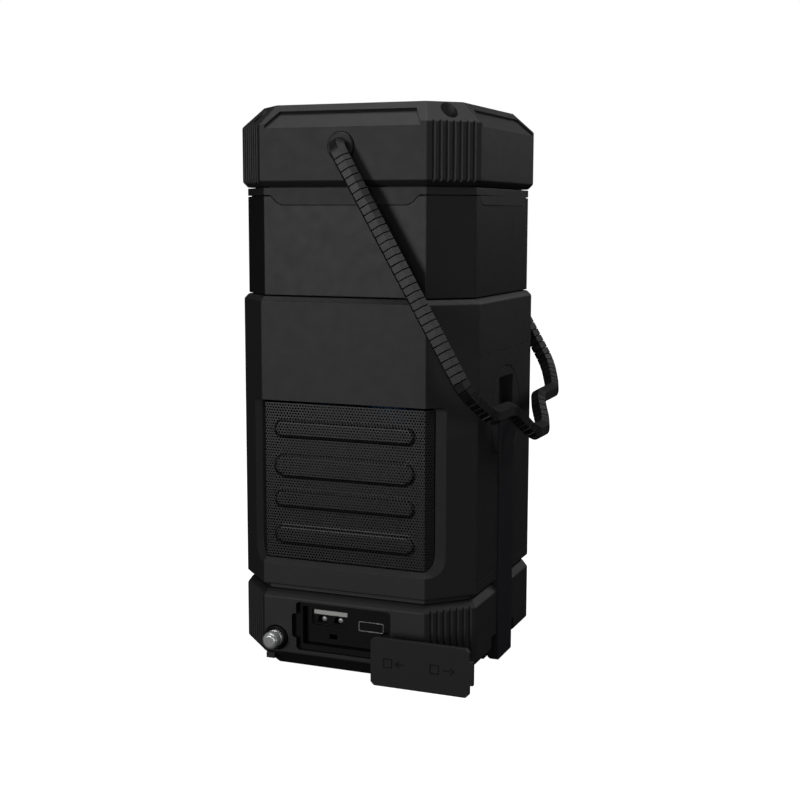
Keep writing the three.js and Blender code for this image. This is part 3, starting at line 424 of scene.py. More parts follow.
def makeBase():
    low, high = boxOf("base_housing")
    bodyLow = boxOf("body_shell")[0].z
    shoulder = bodyLow - base["shoulderDrop"]
    block = octagonBlock("baseHousing", base["chamferTop"], shoulder - base["bevelHeight"],
                         up=[(base["bevelInset"], base["bevelHeight"]),
                             (base["neckInset"] - base["bevelInset"], 0), (0, high.z - shoulder)],
                         down=[(base["chamferInset"], base["chamferTop"] - low.z)])
    pick(block, 'VERT', lambda vert: vert.co.z < (low.z + 0.1) * mm)
    mesh = bmesh.from_edit_mesh(block.data)
    flat = flatOf(base["chamferInset"], base["chamferCorner"])
    for vert in mesh.verts:
        if vert.select:
            axis = 0 if abs(vert.co.x) < abs(vert.co.y) else 1
            vert.co[axis] = math.copysign(flat * mm, vert.co[axis])
    bmesh.update_edit_mesh(block.data)
    done()
    roundEdges(block, base["edgeRound"])
    hollow = octagonBlock("baseHollow", base["floor"] + base["chamferTop"], high.z + 5, base["wall"],
                          down=[(base["chamferInset"] - base["hollowSlope"], base["chamferTop"])])
    cutWith(block, hollow)
    half, notch = channel["half"], base["notchHalf"]
    lining = half + channel["lining"]
    neck = halfWidth - base["neckInset"] - 0.05
    joinWith(block,
             addBlock("lug", (-29.1, -halfWidth + 1.2, 4.1), (-26.1, -halfWidth + 9, 6.0)),
             addBlock("pocketWall", (base["pocketInner"] - channel["lining"], -lining, 2.2),
                      (40.1, lining, base["channelTop"])),
             addBlock("channelWall", (36.1, -lining, 2.1), (neck, lining, high.z - 0.1)))
    cutWith(block, cornerGrooves(grooves, low.z - 3, shoulder + 2))
    far = halfWidth + 20
    under = base["padHalf"]
    left, right, back = port["left"], port["right"], -halfWidth + port["deep"]
    rim, pull = port["rim"], port["pullHalf"]
    middleZ = (port["bottom"] + port["top"]) / 2
    guide = straightRod('Y', "stemGuide", -halfWidth - 1, 0, (port["stemX"], port["stemZ"]),
                        port["guideRadius"])
    cutWith(
        block,
        addBlock("pad", (-under, -under, -1), (under, under, base["padDeep"])),
        addBlock("pocket", (base["pocketInner"], -half, base["pocketLow"]), (far, half, base["pocketHigh"])),
        addBlock("channel", (channel["floor"], -half, -1), (far, half, high.z + 5)),
        addBlock("notch", (channel["floor"], -notch, -1), (far, notch, base["notchTop"])),
        roundedBlock("recess", (left, -far, port["bottom"]), (right, back, port["top"]), base["recessRound"]),
        roundedBlock("pull", (left - port["pullOut"], -far, middleZ - pull), (0, back, middleZ + pull),
                     port["pullRound"]),
        cutWith(roundedBlock("opening", (left + rim, -far, port["bottom"] + rim),
                             (right - rim, -halfWidth + 10, port["top"] - rim), port["rimRound"]), guide),
        straightRod('Y', "stemHole", -far, -30, (port["stemX"], port["stemZ"]), port["stemBore"], 24),
        straightRod('Y', "socketHole", -far, -halfWidth + 8, (antenna["x"], antenna["z"]), antenna["seat"], 40),
    )
    fit(block, "lantern", "shellPlastic", "base_housing")
    # painted shade: the walls and floor of the port recess get the dark bezel finish in place of the shade that
    # falls into it
    paintShadeInside(block, "bezelPlastic", (left - 2, -halfWidth + 0.02, port["bottom"] - 0.2),
               (right + 0.2, -36, port["top"] + 0.2))


makeBase()
print("base made")


# --- body ---

body = {
    "ledgeInset": 1.5, "ledgeHeight": 1.6, "wall": 2.4, "deck": 2.4, "edgeRound": 0.45, "gap": 0.18, "deckBore": 6.0,
    "windowRound": 1.5, "dialZ": 62.0, "dialBore": 3.3, "buttonZ": 84.0, "buttonBore": 4.2,
    "buttons": (-21, -7, 7, 21), "channelTop": 36.0,
}
opening = {
    "bottom": 39.6, "top": 93.5, "wrap": 4.3, "frameWrap": 7.4, "depth": 1.35, "sill": 1.7, "overhang": 0.9,
    "bottomRound": 4.6, "sillRound": 1.2, "topRound": 1.6, "through": 3.4,
}
sheet = {
    "pitch": 1.05, "hole": 0.31, "thickness": 0.5, "inset": 1.45, "gap": 0.4,
    "ribProud": 0.8, "ribSlope": 0.8, "ribHalf": 25.3,
    "ribs": ((83.9, 6.4), (71.6, 8.0), (60.2, 6.4), (48.1, 6.4)), "foldRun": 4.0,
}


def folded(piece):
    # wraps a flat piece over the front face on to both corner faces; its depth is measured into the body
    for vert in piece.data.vertices:
        across, deep, z = vert.co / mm
        side = math.copysign(1, across)
        past = abs(across) - flatHalf
        turned = past / sheet["foldRun"]
        share = min(1, turned) if past > 0 else max(0, 1 + turned)
        mitre = Vector((-math.tan(math.pi / 8), 1))
        if past > 0:
            inward = mitre.lerp(Vector((-1, 1)) / math.sqrt(2), share)
            at = Vector((flatHalf + past / math.sqrt(2), -halfWidth + past / math.sqrt(2)))
        else:
            inward = Vector((0, 1)).lerp(mitre, share)
            at = Vector((abs(across), -halfWidth))
        spot = at + inward * deep
        vert.co = Vector((side * spot.x, spot.y, z)) * mm
    piece.data.update()
    return piece


def creased(piece):
    # loops where the flat piece folds
    for side in (-1, 1):
        pick(piece, 'FACE', lambda face: True)
        bpy.ops.mesh.bisect(plane_co=(side * flatHalf * mm, 0, 0), plane_no=(1, 0, 0))
    done()
    return piece


def makeOpening():
    wide = flatHalf + opening["frameWrap"]
    narrow = flatHalf + opening["wrap"]
    tall = opening["top"] - opening["bottom"]
    cutter = addBlock("opening", (-wide, -2, opening["bottom"] - opening["sill"]), (wide, 0, opening["top"]))
    for low, radius in ((True, opening["bottomRound"] + opening["sillRound"]), (False, opening["topRound"])):
        pick(cutter, 'EDGE', lambda edge: abs(heading(edge).y) > 0.9
             and (middle(edge).z < opening["bottom"] + tall / 2) == low)
        bpy.ops.mesh.bevel(offset=radius * mm, segments=6, affect='EDGES')
    pick(cutter, 'FACE', lambda face: face.normal.y > 0.9)
    push((0, opening["depth"], 0))
    bpy.ops.transform.resize(value=(narrow / wide, 1, tall / (tall + opening["sill"])),
                             center_override=(0, opening["depth"] * mm, opening["top"] * mm))
    push((0, opening["through"] - opening["depth"], 0))
    done()
    return folded(creased(cutter))


def makeBody():
    low, high = boxOf("body_shell")
    ledge = high.z - body["ledgeHeight"]
    shell = octagonBlock("bodyShell", low.z, ledge, up=[(body["ledgeInset"], body["ledgeHeight"])])
    roundEdges(shell, body["edgeRound"])
    hollow = octagonBlock("bodyHollow", low.z - 2, high.z - body["deck"], body["wall"])
    panelLow, panelHigh = boxOf("crank_cover_panel")
    windowLow, windowHigh = boxOf("display_window")
    half, gap = channel["half"], body["gap"]
    far = halfWidth + 5
    back = halfWidth - body["wall"] - 2
    cutWith(
        shell, hollow, makeOpening(),
        straightRod('Z', "deckHole", high.z - 5, high.z + 5, (0, 0), body["deckBore"]),
        addBlock("panelHole", (back, panelLow.y - gap, channel["panelBottom"] - gap),
                 (far, panelHigh.y + gap, panelHigh.z + gap)),
        addBlock("channel", (back, -half, low.z - 2), (far, half, body["channelTop"])),
        roundedBlock("windowHole", (windowLow.x - gap, back, windowLow.z - gap),
                     (windowHigh.x + gap, far, windowHigh.z + gap), body["windowRound"]),
        straightRod('Y', "dialHole", back, far, (0, body["dialZ"]), body["dialBore"]),
        *[straightRod('Y', "buttonHole", back, far, (x, body["buttonZ"]), body["buttonBore"], 40)
          for x in body["buttons"]],
    )
    fit(shell, "lantern", "shellPlastic", "body_shell", smooth=14)


def insideRib(across, z):
    # how far inside the nearest raised bar a point lies
    best = -9.0
    for ribZ, height in sheet["ribs"]:
        run = sheet["ribHalf"] - height / 2
        away = math.hypot(max(0, abs(across) - run), z - ribZ)
        best = max(best, height / 2 - away)
    return best


def makeGrille():
    # a pair of six-sided rings repeated, trimmed to the opening, thickened, raised at the bars and folded
    pitch, row = sheet["pitch"], sheet["pitch"] * math.sqrt(3) / 2
    wide = flatHalf + opening["wrap"] - sheet["gap"]
    bottom, top = opening["bottom"] + sheet["gap"], opening["top"] - opening["overhang"]
    columns, rows = math.ceil(2 * wide / pitch) + 2, math.ceil((top - bottom) / row / 2) + 1
    cells = []
    for shift in (0, 1):
        bpy.ops.mesh.primitive_circle_add(
            vertices=6, radius=pitch / math.sqrt(3) * mm, fill_type='NGON', rotation=(math.pi / 2, 0, 0),
            location=Vector((-wide - pitch + shift * pitch / 2, 0, bottom + shift * row)) * mm)
        cell = settle("cell")
        pick(cell, 'FACE', lambda face: True)
        bpy.ops.mesh.inset(thickness=(pitch / 2 - sheet["hole"]) * mm)
        bpy.ops.mesh.delete(type='FACE')
        done()
        cells.append(cell)
    grille = merged("speakerGrille", *cells)
    for count, step in ((columns, (pitch * mm, 0, 0)), (rows, (0, 0, 2 * row * mm))):
        applied(grille, 'ARRAY', count=count, use_relative_offset=False, use_constant_offset=True,
                constant_offset_displace=step)
    cuts = [((wide, 0, 0), (1, 0, 0)), ((-wide, 0, 0), (-1, 0, 0)), ((0, 0, bottom), (0, 0, -1)),
            ((0, 0, top), (0, 0, 1))]
    for angle in (20, 45, 70):
        for side in (-1, 1):
            turn = math.radians(angle)
            out = Vector((side * math.cos(turn), 0, -math.sin(turn)))
            centre = Vector((side * (wide - opening["bottomRound"]), 0, bottom + opening["bottomRound"]))
            cuts.append((centre + out * opening["bottomRound"], out))
    pick(grille, 'FACE', lambda face: True)
    bpy.ops.mesh.remove_doubles(threshold=0.02 * mm)
    for spot, out in cuts:
        bpy.ops.mesh.select_all(action='SELECT')
        bpy.ops.mesh.bisect(plane_co=Vector(spot) * mm, plane_no=out, clear_outer=True)
    done()
    applied(creased(grille), 'SOLIDIFY', thickness=sheet["thickness"] * mm, offset=-1)
    lift = -min(vert.co.y for vert in grille.data.vertices) / mm
    for vert in grille.data.vertices:
        inside = insideRib(vert.co.x / mm, vert.co.z / mm)
        rise = min(1, max(0, inside / sheet["ribSlope"]))
        vert.co.y += (sheet["inset"] + lift - sheet["ribProud"] * rise * rise * (3 - 2 * rise)) * mm
    folded(grille)
    fit(grille, "lantern", "grillePaint", "speaker_grille", smooth=40)
    print("grille faces:", len(grille.data.polygons))


makeBody()
makeGrille()
print("body made")


# --- lens, collar and cap ---

lens = {"inset": 1.6, "wall": 2.0, "edgeRound": 0.3, "notchGap": 0.12}
collar = {
    "inset": 1.6, "tabBottom": 157.6, "tabHalf": 22.9, "tabSlope": 3.3, "tabThick": 2.0, "tabRound": 1.6,
    "spigotInset": 3.9, "spigotWall": 2.0, "spigotDown": 8.8, "spigotUp": 5.8, "edgeRound": 0.12,
}
cap = {
    "lipHeight": 1.75, "lipInset": 1.6, "bevelHeight": 6.6, "bevelInset": 7.0, "wall": 3.6, "roof": 3.2,
    "edgeRound": 0.4, "pocketDepth": 0.9, "pocketBottom": 27.5, "pocketTop": 23.9, "pocketRise": 0.66,
    "screwInset": 3.95, "boreRadius": 2.7, "boreDepth": 5.0, "holeRadius": 1.6, "bossRadius": 4.1,
    "pivotRadius": 4.75, "pivotHeight": 176.0,
}


def cornerSpot(inset):
    return (cornerFace - inset) / math.sqrt(2)


def addTab(name, grow, deep):
    # the trapezoid that hangs below the collar on the front side
    bandLow = boxOf("lantern_lens")[1].z
    half, slope = collar["tabHalf"] + grow, collar["tabSlope"]
    front = -halfWidth + collar["inset"]
    tab = addBlock(name, (-half - slope, front - (1 if grow else 0), collar["tabBottom"] - grow),
                   (half + slope, front + deep, bandLow + seam - grow))
    pick(tab, 'VERT', lambda vert: vert.co.z < (collar["tabBottom"] + 1) * mm)
    bpy.ops.transform.resize(value=(half / (half + slope), 1, 1))
    pick(tab, 'EDGE', lambda edge: abs(heading(edge).y) > 0.9 and middle(edge).z < collar["tabBottom"] + 1)
    bpy.ops.mesh.bevel(offset=collar["tabRound"] * mm, segments=4, affect='EDGES')
    pick(tab, 'FACE', lambda face: face.normal.z > 0.9)
    push((0, 0, 1.5))
    done()
    return tab


def makeLens():
    low, high = boxOf("lantern_lens")
    panel = octagonBlock("lanternLens", low.z, high.z, lens["inset"])
    roundEdges(panel, lens["edgeRound"])
    cutWith(panel, octagonBlock("lensHollow", low.z - 2, high.z + 2, lens["inset"] + lens["wall"]),
            *quarterTurns(addTab("tabNotch", lens["notchGap"], lens["wall"] + 1)))
    fit(panel, "lantern", "smokedPlastic", "lantern_lens")
    panel.data.materials.append(finishes["smokedCorner"])
    for face in panel.data.polygons:
        if min(abs(face.normal.x), abs(face.normal.y)) > 0.5:
            face.material_index = 1


def makeCollar():
    low, high = boxOf("lantern_lens")[1].z + seam, boxOf("top_cap")[0].z - seam
    band = octagonBlock("collarBand", low, high, collar["inset"])
    joinWith(band, *quarterTurns(addTab("collarTab", 0, collar["tabThick"])))
    cutWith(band, octagonBlock("bandHollow", collar["tabBottom"] - 5, high + 5,
                               collar["inset"] + collar["tabThick"]))
    roundEdges(band, collar["edgeRound"], 1)
    spigot = octagonBlock("collarSpigot", low - collar["spigotDown"], high + collar["spigotUp"],
                          collar["spigotInset"])
    inner = octagonBlock("spigotHollow", low - 20, high + 20, collar["spigotInset"] + collar["spigotWall"])
    cutWith(spigot, inner)
    fit(band, "lantern", "shellPlastic", "collar_band")
    fit(spigot, "lantern", "panelPlastic")


def addPocket():
    # lies flat first, then is tipped on to the front bevel
    rise = math.hypot(cap["bevelHeight"], cap["bevelInset"]) * cap["pocketRise"]
    shoulder = boxOf("top_cap")[1].z - cap["bevelHeight"]
    pocket = addBlock("pocket", (-cap["pocketBottom"], -1, -cap["pocketDepth"]), (cap["pocketBottom"], rise, 6))
    pick(pocket, 'VERT', lambda vert: vert.co.y > 0)
    bpy.ops.transform.resize(value=(cap["pocketTop"] / cap["pocketBottom"], 1, 1))
    done()
    slope = Matrix.Rotation(math.atan2(cap["bevelHeight"], cap["bevelInset"]), 4, 'X')
    pocket.data.transform(Matrix.Translation(Vector((0, -halfWidth, shoulder)) * mm) @ slope)
    return pocket


def makeCap():
    low, high = boxOf("top_cap")
    shoulder = high.z - cap["bevelHeight"]
    block = octagonBlock("topCap", low.z + cap["lipHeight"], shoulder, up=[(cap["bevelInset"], cap["bevelHeight"])],
                         down=[(cap["lipInset"], cap["lipHeight"])])
    roundEdges(block, cap["edgeRound"])
    hollow = octagonBlock("capHollow", low.z - 2, shoulder - cap["bevelHeight"] / 2, cap["wall"],
                          up=[(cap["bevelInset"], cap["bevelHeight"] * 1.5 - cap["roof"])])
    cutWith(block, hollow)
    spot = cornerSpot(cap["screwInset"])
    seat = shoulder + cap["bevelHeight"] / 2 - cap["boreDepth"]
    joinWith(block, *quarterTurns(straightRod('Z', "boss", boxOf("collar_band")[1].z + seam, seat,
                                              (spot, -spot), cap["bossRadius"])))
    cutWith(
        block,
        merged("pockets", *quarterTurns(addPocket())),
        merged("bores", *quarterTurns(straightRod('Z', "bore", seat, high.z + 9, (spot, -spot),
                                                  cap["boreRadius"], 40))),
        merged("holes", *quarterTurns(straightRod('Z', "hole", low.z - 5, seat + 1, (spot, -spot),
                                                  cap["holeRadius"], 20))),
        straightRod('Y', "pivotHole", -halfWidth - 5, halfWidth + 5, (0, cap["pivotHeight"]),
                    cap["pivotRadius"], 40),
        cornerGrooves(grooves, low.z - 3, shoulder + 2),
    )
    fit(block, "lantern", "shellPlastic", "top_cap", smooth=20)


screw = {
    "head": 2.4, "headHeight": 2.2, "shank": 1.3, "length": 14.0, "key": 1.25, "keyDepth": 1.3, "keyTurn": 15,
    "edgeRound": 0.25,
}


def makeScrews():
    for node in ("front_right", "back_right", "back_left", "front_left"):
        low, high = boxOf("cap_screw_" + node)
        x, y = (low.x + high.x) / 2, (low.y + high.y) / 2
        seat = high.z - screw["headHeight"]
        head = straightRod('Z', "capScrew_" + node, seat, high.z, (x, y), screw["head"], 36)
        pick(head, 'FACE', lambda face: face.normal.z < -0.9)
        bpy.ops.mesh.inset(thickness=(screw["head"] - screw["shank"]) * mm)
        push((0, 0, -screw["length"]))
        done()
        cutWith(head, straightRod('Z', "key", high.z - screw["keyDepth"], high.z + 1, (x, y), screw["key"], 6,
                                  screw["keyTurn"]))
        roundEdges(head, screw["edgeRound"], 2, 60)
        fit(head, "lantern", "screwSteel", "cap_screw_" + node)


makeLens()
makeCollar()
makeCap()
makeScrews()
print("lens, collar and cap made")


# --- crank side ---

crank = {
    "edgeRound": 0.18, "hubRadius": 16.0, "hubZ": 87.6, "slotTop": 100.2, "hubGap": 0.3,
    "pinBore": 1.5, "pinReach": 12.8, "hingeX": 41.25, "trayTop": 79.6, "trayBottom": 37.1,
    "trayFloor": 1.2, "panelThick": 2.0, "cutFrom": 30, "cutTo": 50, "slotFrom": 60,
}


def cutForHub(piece, inner):
    # the round seat of the hub and the way of the arm below it
    start, end, z = crank["cutFrom"], crank["cutTo"], crank["hubZ"]
    cutWith(piece, straightRod('X', "hubHole", start, end, (0, z), crank["hubRadius"] + crank["hubGap"], 96),
            addBlock("armWay", (inner, -channel["half"], start), (end, channel["half"], z)))


def makeCrankSide():
    low, high = boxOf("crank_cover_panel")
    half, floor, lining = channel["half"], channel["floor"], channel["half"] + channel["lining"]
    back = halfWidth - crank["panelThick"]
    panel = addBlock("crankCoverPanel", (back, low.y, channel["panelBottom"]), (halfWidth, high.y, high.z))
    cutForHub(panel, crank["cutFrom"])
    roundEdges(panel, crank["edgeRound"])
    tray = addBlock("crankTray", (floor - crank["trayFloor"], -lining, crank["trayBottom"]),
                    (back - 0.05, lining, crank["trayTop"]))
    cutForHub(tray, floor)
    fit(panel, "lantern", "panelPlastic", "crank_cover_panel")
    fit(tray, "lantern", "panelPlastic")
    hubLow, hubHigh = boxOf("crank_hub")
    hub = straightRod('X', "crankHub", hubLow.x, hubHigh.x, (0, crank["hubZ"]), crank["hubRadius"], 96)
    cutWith(hub, addBlock("hubSlot", (floor, -half, crank["slotFrom"]), (crank["cutTo"], half, crank["slotTop"])),
            straightRod('Y', "pinHole", -crank["pinReach"], crank["pinReach"], (crank["hingeX"], crank["hubZ"]),
                        crank["pinBore"], 24))
    roundEdges(hub, crank["edgeRound"])
    fit(hub, "lantern", "panelPlastic", "crank_hub")


arm = {"edgeRound": 0.22, "foot": 1.4, "knobBore": 1.8, "knobRound": 1.1, "knobFlutes": 12, "fluteRadius": 0.7}


def makeArm():
    low, high = boxOf("crank_arm")
    radius = (high.x - low.x) / 2
    blade = addBlock("crankArm", low, high)
    pick(blade, 'EDGE', lambda edge: abs(heading(edge).y) > 0.9 and middle(edge).z > crank["hubZ"])
    bpy.ops.mesh.bevel(offset=radius * 0.99 * mm, segments=8, affect='EDGES')
    pick(blade, 'EDGE', lambda edge: abs(heading(edge).y) > 0.9 and middle(edge).z < low.z + 0.1
         and middle(edge).x < low.x + 0.1)
    bpy.ops.mesh.bevel(offset=arm["foot"] * mm, segments=4, affect='EDGES')
    done()
    knobZ = (boxOf("crank_knob")[0].z + boxOf("crank_knob")[1].z) / 2
    cutWith(blade,
            straightRod('Y', "armPinHole", -9, 9, (crank["hingeX"], crank["hubZ"]), crank["pinBore"], 24),
            straightRod('X', "knobPinHole", low.x - 1, high.x - 1, (0, knobZ), arm["knobBore"], 24))
    roundEdges(blade, arm["edgeRound"])
    fit(blade, "crank", "armPlastic", "crank_arm")
    knobLow, knobHigh = boxOf("crank_knob")
    knob = straightRod('X', "crankKnob", knobLow.x, knobHigh.x, (0, knobZ), (knobHigh.z - knobLow.z) / 2, 48)
    roundEdges(knob, arm["knobRound"], 4, 60)
    cutWith(knob, straightRod('X', "knobBore", knobLow.x - 1, knobHigh.x + 1, (0, knobZ), arm["knobBore"], 24))
    flutes = []
    for count in range(arm["knobFlutes"]):
        turn = 2 * math.pi * count / arm["knobFlutes"]
        away = (knobHigh.z - knobLow.z) / 2 + arm["fluteRadius"] * 0.4
        y, z = away * math.cos(turn), knobZ + away * math.sin(turn)
        flutes.append(straightRod('X', "flute", knobLow.x - 1, knobHigh.x + 1, (y, z), arm["fluteRadius"], 10))
    cutWith(knob, merged("flutes", *flutes))
    fit(knob, "crank_grip", "bezelPlastic", "crank_knob")


makeCrankSide()
makeArm()
print("crank made")


# --- handle ---

handle = {
    "angle": 30.0, "radius": 2.9, "bore": 1.5, "arm": 46.7, "grip": 98.0, "shoulder": 10.0, "kinkDrop": 10.6,
    "kinkTop": 15.6, "kinkBottom": 6.5, "bend": 5.0, "elbowBend": 2.755, "start": 43.8, "ferrule": 6.2,
    "groove": 0.2, "step": 0.42, "fineStep": 0.6, "finePitch": 2.0, "bendSteps": 12,
    "pitches": (2.6, 2.6, 2.3, 0.95, 2.3, 0.95, 2.3, 0.95, 2.3, 2.6, 2.6),
}


def handleRoute():
    # points along the middle of the sleeve in its own plane, as across and down, with the number of their stretch
    half = [(handle["start"], 0), (handle["arm"], 0), (handle["arm"], handle["grip"] - handle["shoulder"]),
            (handle["arm"] - handle["shoulder"], handle["grip"]), (handle["kinkTop"], handle["grip"]),
            (handle["kinkBottom"], handle["grip"] + handle["kinkDrop"])]
    corners = [Vector(spot) for spot in half] + [Vector((-across, down)) for across, down in reversed(half)]
    points = [(corners[0], 0)]
    for turn in range(1, len(corners) - 1):
        corner = corners[turn]
        bend = handle["elbowBend"] if turn in (1, len(corners) - 2) else handle["bend"]
        before = corner + (corners[turn - 1] - corner).normalized() * bend
        after = corner + (corners[turn + 1] - corner).normalized() * bend
        for count in range(handle["bendSteps"] + 1):
            share = count / handle["bendSteps"]
            spot = before.lerp(corner, share).lerp(corner.lerp(after, share), share)
            points.append((spot, turn - 1 if share < 0.5 else turn))
    points.append((corners[-1], len(corners) - 2))
    return points


route = handleRoute()
routeLengths = [0.0]
for (first, _), (second, _) in zip(route, route[1:]):
    routeLengths.append(routeLengths[-1] + (second - first).length)


def routeSpot(along):
    # the point, the heading and the stretch at a distance along the sleeve
    along = min(max(along, 0), routeLengths[-1])
    step = max(1, next(place for place, length in enumerate(routeLengths) if length >= along))
    share = (along - routeLengths[step - 1]) / (routeLengths[step] - routeLengths[step - 1])
    first, second = route[step - 1][0], route[step][0]
    ahead = routeHeadings[step - 1].lerp(routeHeadings[step], share).normalized()
    return first.lerp(second, share), ahead, route[step - 1][1]


routeHeadings = []
for place in range(len(route)):
    first, second = route[max(0, place - 1)][0], route[min(len(route) - 1, place + 1)][0]
    routeHeadings.append((second - first).normalized())

tilt = math.radians(handle["angle"])
downward = Vector((math.sin(tilt), 0, -math.cos(tilt)))
sideways = Vector((math.cos(tilt), 0, math.sin(tilt)))
pivot = Vector((0, 0, cap["pivotHeight"]))


def alongRoute(piece, start, length):
    # a piece one unit long on its upright axis is laid on the route from start
    for vert in piece.data.vertices:
        spot, ahead, _ = routeSpot(start + vert.co.z * length)
        across = Vector((-ahead.y, ahead.x))
        place = pivot + Vector((0, 1, 0)) * spot.x + downward * spot.y
        place += (Vector((0, 1, 0)) * across.x + downward * across.y) * vert.co.x + sideways * vert.co.y
        vert.co = place * mm
    return piece


def addSleeveRing(name, profile):
    # loops of six points drawn up and out, then down the bore and closed
    first, radius = profile[0]
    bpy.ops.mesh.primitive_circle_add(vertices=6, radius=radius, location=(0, 0, first))
    ring = settle(name)
    pick(ring, 'EDGE', lambda edge: True)
    height, size = first, radius
    for nextHeight, nextSize in profile[1:]:
        bpy.ops.mesh.extrude_region_move(TRANSFORM_OT_translate={"value": (0, 0, nextHeight - height)})
        bpy.ops.transform.resize(value=(nextSize / size, nextSize / size, 1), center_override=(0, 0, 0))
        height, size = nextHeight, nextSize
    pick(ring, 'EDGE', lambda edge: len(edge.link_faces) == 1)
    bpy.ops.mesh.bridge_edge_loops()
    pick(ring, 'FACE', lambda face: True)
    bpy.ops.mesh.normals_make_consistent(inside=False)
    done()
    return ring


def makeSleeve():
    total = routeLengths[-1]
    radius, bore = handle["radius"], handle["bore"]
    pieces = []
    for start, length in ((0, handle["ferrule"]), (total - handle["ferrule"], handle["ferrule"])):
        profile = [(0, radius * 0.9), (0.05, radius)] + [(step / 20, radius) for step in range(2, 19)]
        profile += [(0.95, radius), (0.99, radius - handle["step"]), (0.99, bore), (0, bore)]
        pieces.append(alongRoute(addSleeveRing("sleeveEnd", profile), start, length))
    patterns = {}
    for pitch in set(handle["pitches"]):
        groove = handle["groove"] / pitch
        low = radius - (handle["fineStep"] if pitch < handle["finePitch"] else handle["step"])
        profile = [(groove * 0.2, low), (groove, radius), (1 - groove, radius), (1 - groove * 0.2, low)]
        patterns[pitch] = addSleeveRing(f"sleeveRing_{pitch}", profile + [(1, bore), (0, bore)])
    along = handle["ferrule"]
    while along < total - handle["ferrule"] - 0.1:
        _, _, stretch = routeSpot(along)
        pitch = handle["pitches"][stretch]
        length = min(pitch, total - handle["ferrule"] - along)
        pieces.append(alongRoute(ownCopy(patterns[pitch]), along, length))
        along += length
    for pattern in patterns.values():
        bpy.data.objects.remove(pattern)
    sleeve = merged("handleSleeve", *pieces)
    fit(sleeve, "handle", "sleeveRubber", "bail_sleeve", smooth=12)
    print("sleeve rings:", len(pieces))


bush = {"barrel": 4.55, "proud": 1.0, "bore": 1.9, "edgeRound": 0.6}


def makeBushes():
    z = cap["pivotHeight"]
    for node, side in (("pivot_bush_front", -1), ("pivot_bush_back", 1)):
        inner, outer = side * (halfWidth - cap["wall"]), side * (halfWidth + bush["proud"])
        ring = straightRod('Y', node.replace("pivot_bush_", "pivotBush_"), inner, outer, (0, z), bush["barrel"],
                           48)
        cutWith(ring, straightRod('Y', "bushBore", side * 30, side * 50, (0, z), bush["bore"], 24))
        roundEdges(ring, bush["edgeRound"], 3, 60)
        fit(ring, "lantern", "panelPlastic", node)


makeSleeve()
makeBushes()
print("handle made")


# --- ports ---

def portBlock(name, spot, front, back, grow=0.0, radius=0.0):
    # a block for a connector at its own place and size in the port plate
    x, z, wide, tall = spot
    low = (x - wide / 2 - grow, front, z - tall / 2 - grow)
    high = (x + wide / 2 + grow, back, z + tall / 2 + grow)
    return roundedBlock(name, low, high, radius, segments=4) if radius else addBlock(name, low, high)


def makePortPlate():
    front, back = port["bezelFront"] - 1, port["bezelBack"] + 1
    plate = addBlock("portBezel", *boxOf("port_bezel"))
    pinX, pinZ, pinRadius = port["pinHole"]
    cutWith(plate,
            portBlock("holeA", port["usbA"], front, back),
            portBlock("holeC", port["usbC"], front, back, 0.02, usbC["round"]),
            portBlock("lampHole", port["lamp"], front, back),
            straightRod('Y', "pinHole", front, back, (pinX, pinZ), pinRadius, 16),
            straightRod('Y', "guideHole", front, back, (port["stemX"], port["stemZ"]),
                        port["guideRadius"] + 0.3))
    roundEdges(plate, port["edgeRound"], 1)
    fit(plate, "lantern", "bezelPlastic", "port_bezel")


usbA = {
    "side": 0.4, "tongueLow": 0.75, "tongueHigh": 2.25, "insertLow": -2.3, "insertHigh": 0.7, "tongueRound": 0.15,
    "windows": (-3.4, 2.6), "windowHalf": 1.6, "windowLow": -1.9, "windowHigh": 0.5, "windowLean": 0.8,
    "springAside": 0.9, "springDown": 0.75, "springRadius": 0.95, "springRound": 0.5,
}
usbC = {"round": 0.45, "boreRound": 0.3, "tongueRound": 0.27}


def makeUsbA():
    front = port["bezelFront"]
    shell = portBlock("usbAShell", port["usbA"], front + 0.5, front + 10, -0.05)
    cutWith(shell, portBlock("boreA", port["usbA"], front - 1, front + 9, -port["shellWall"] - 0.05))
    # painted shade: the USB-A shell gets the dark copy of the connector steel in place of the shade inside the
    # socket
    fit(shell, "lantern", "connectorPaintedShade", "usb_a_shell")
    x, z, wide, _ = port["usbA"]
    left, right = x - wide / 2 + usbA["side"], x + wide / 2 - usbA["side"]
    tongue = addBlock("usbATongue", (left, front + 0.62, z + usbA["tongueLow"]),
                      (right, front + 8.6, z + usbA["tongueHigh"]))
    roundEdges(tongue, usbA["tongueRound"], 2)
    fit(tongue, "lantern", "whitePlastic", "usb_a_tongue")
    insert = addBlock("usbAInsert", (left, front + 0.8, z + usbA["insertLow"]),
                      (right, front + 5, z + usbA["insertHigh"]))
    for aside in usbA["windows"]:
        window = addBlock("window", (x + aside - usbA["windowHalf"], front, z + usbA["windowLow"]),
                          (x + aside + usbA["windowHalf"], front + 4, z + usbA["windowHigh"]))
        pick(window, 'VERT', lambda vert: vert.co.z > z * mm)
        bpy.ops.transform.translate(value=(usbA["windowLean"] * mm, 0, 0))
        done()
        cutWith(insert, window)
        springX, springZ = x + aside + usbA["springAside"], z - usbA["springDown"]
        spring = straightRod('Y', "usbASpring", front + 0.95, front + 4.5, (springX, springZ),
                             usbA["springRadius"], 24)
        pick(spring, 'FACE', lambda face: face.normal.y < -0.9)
        bpy.ops.mesh.bevel(offset=usbA["springRound"] * mm, segments=4, affect='EDGES')
        done()
        fit(spring, "lantern", "connectorSteel")
    fit(insert, "lantern", "bezelPlastic")


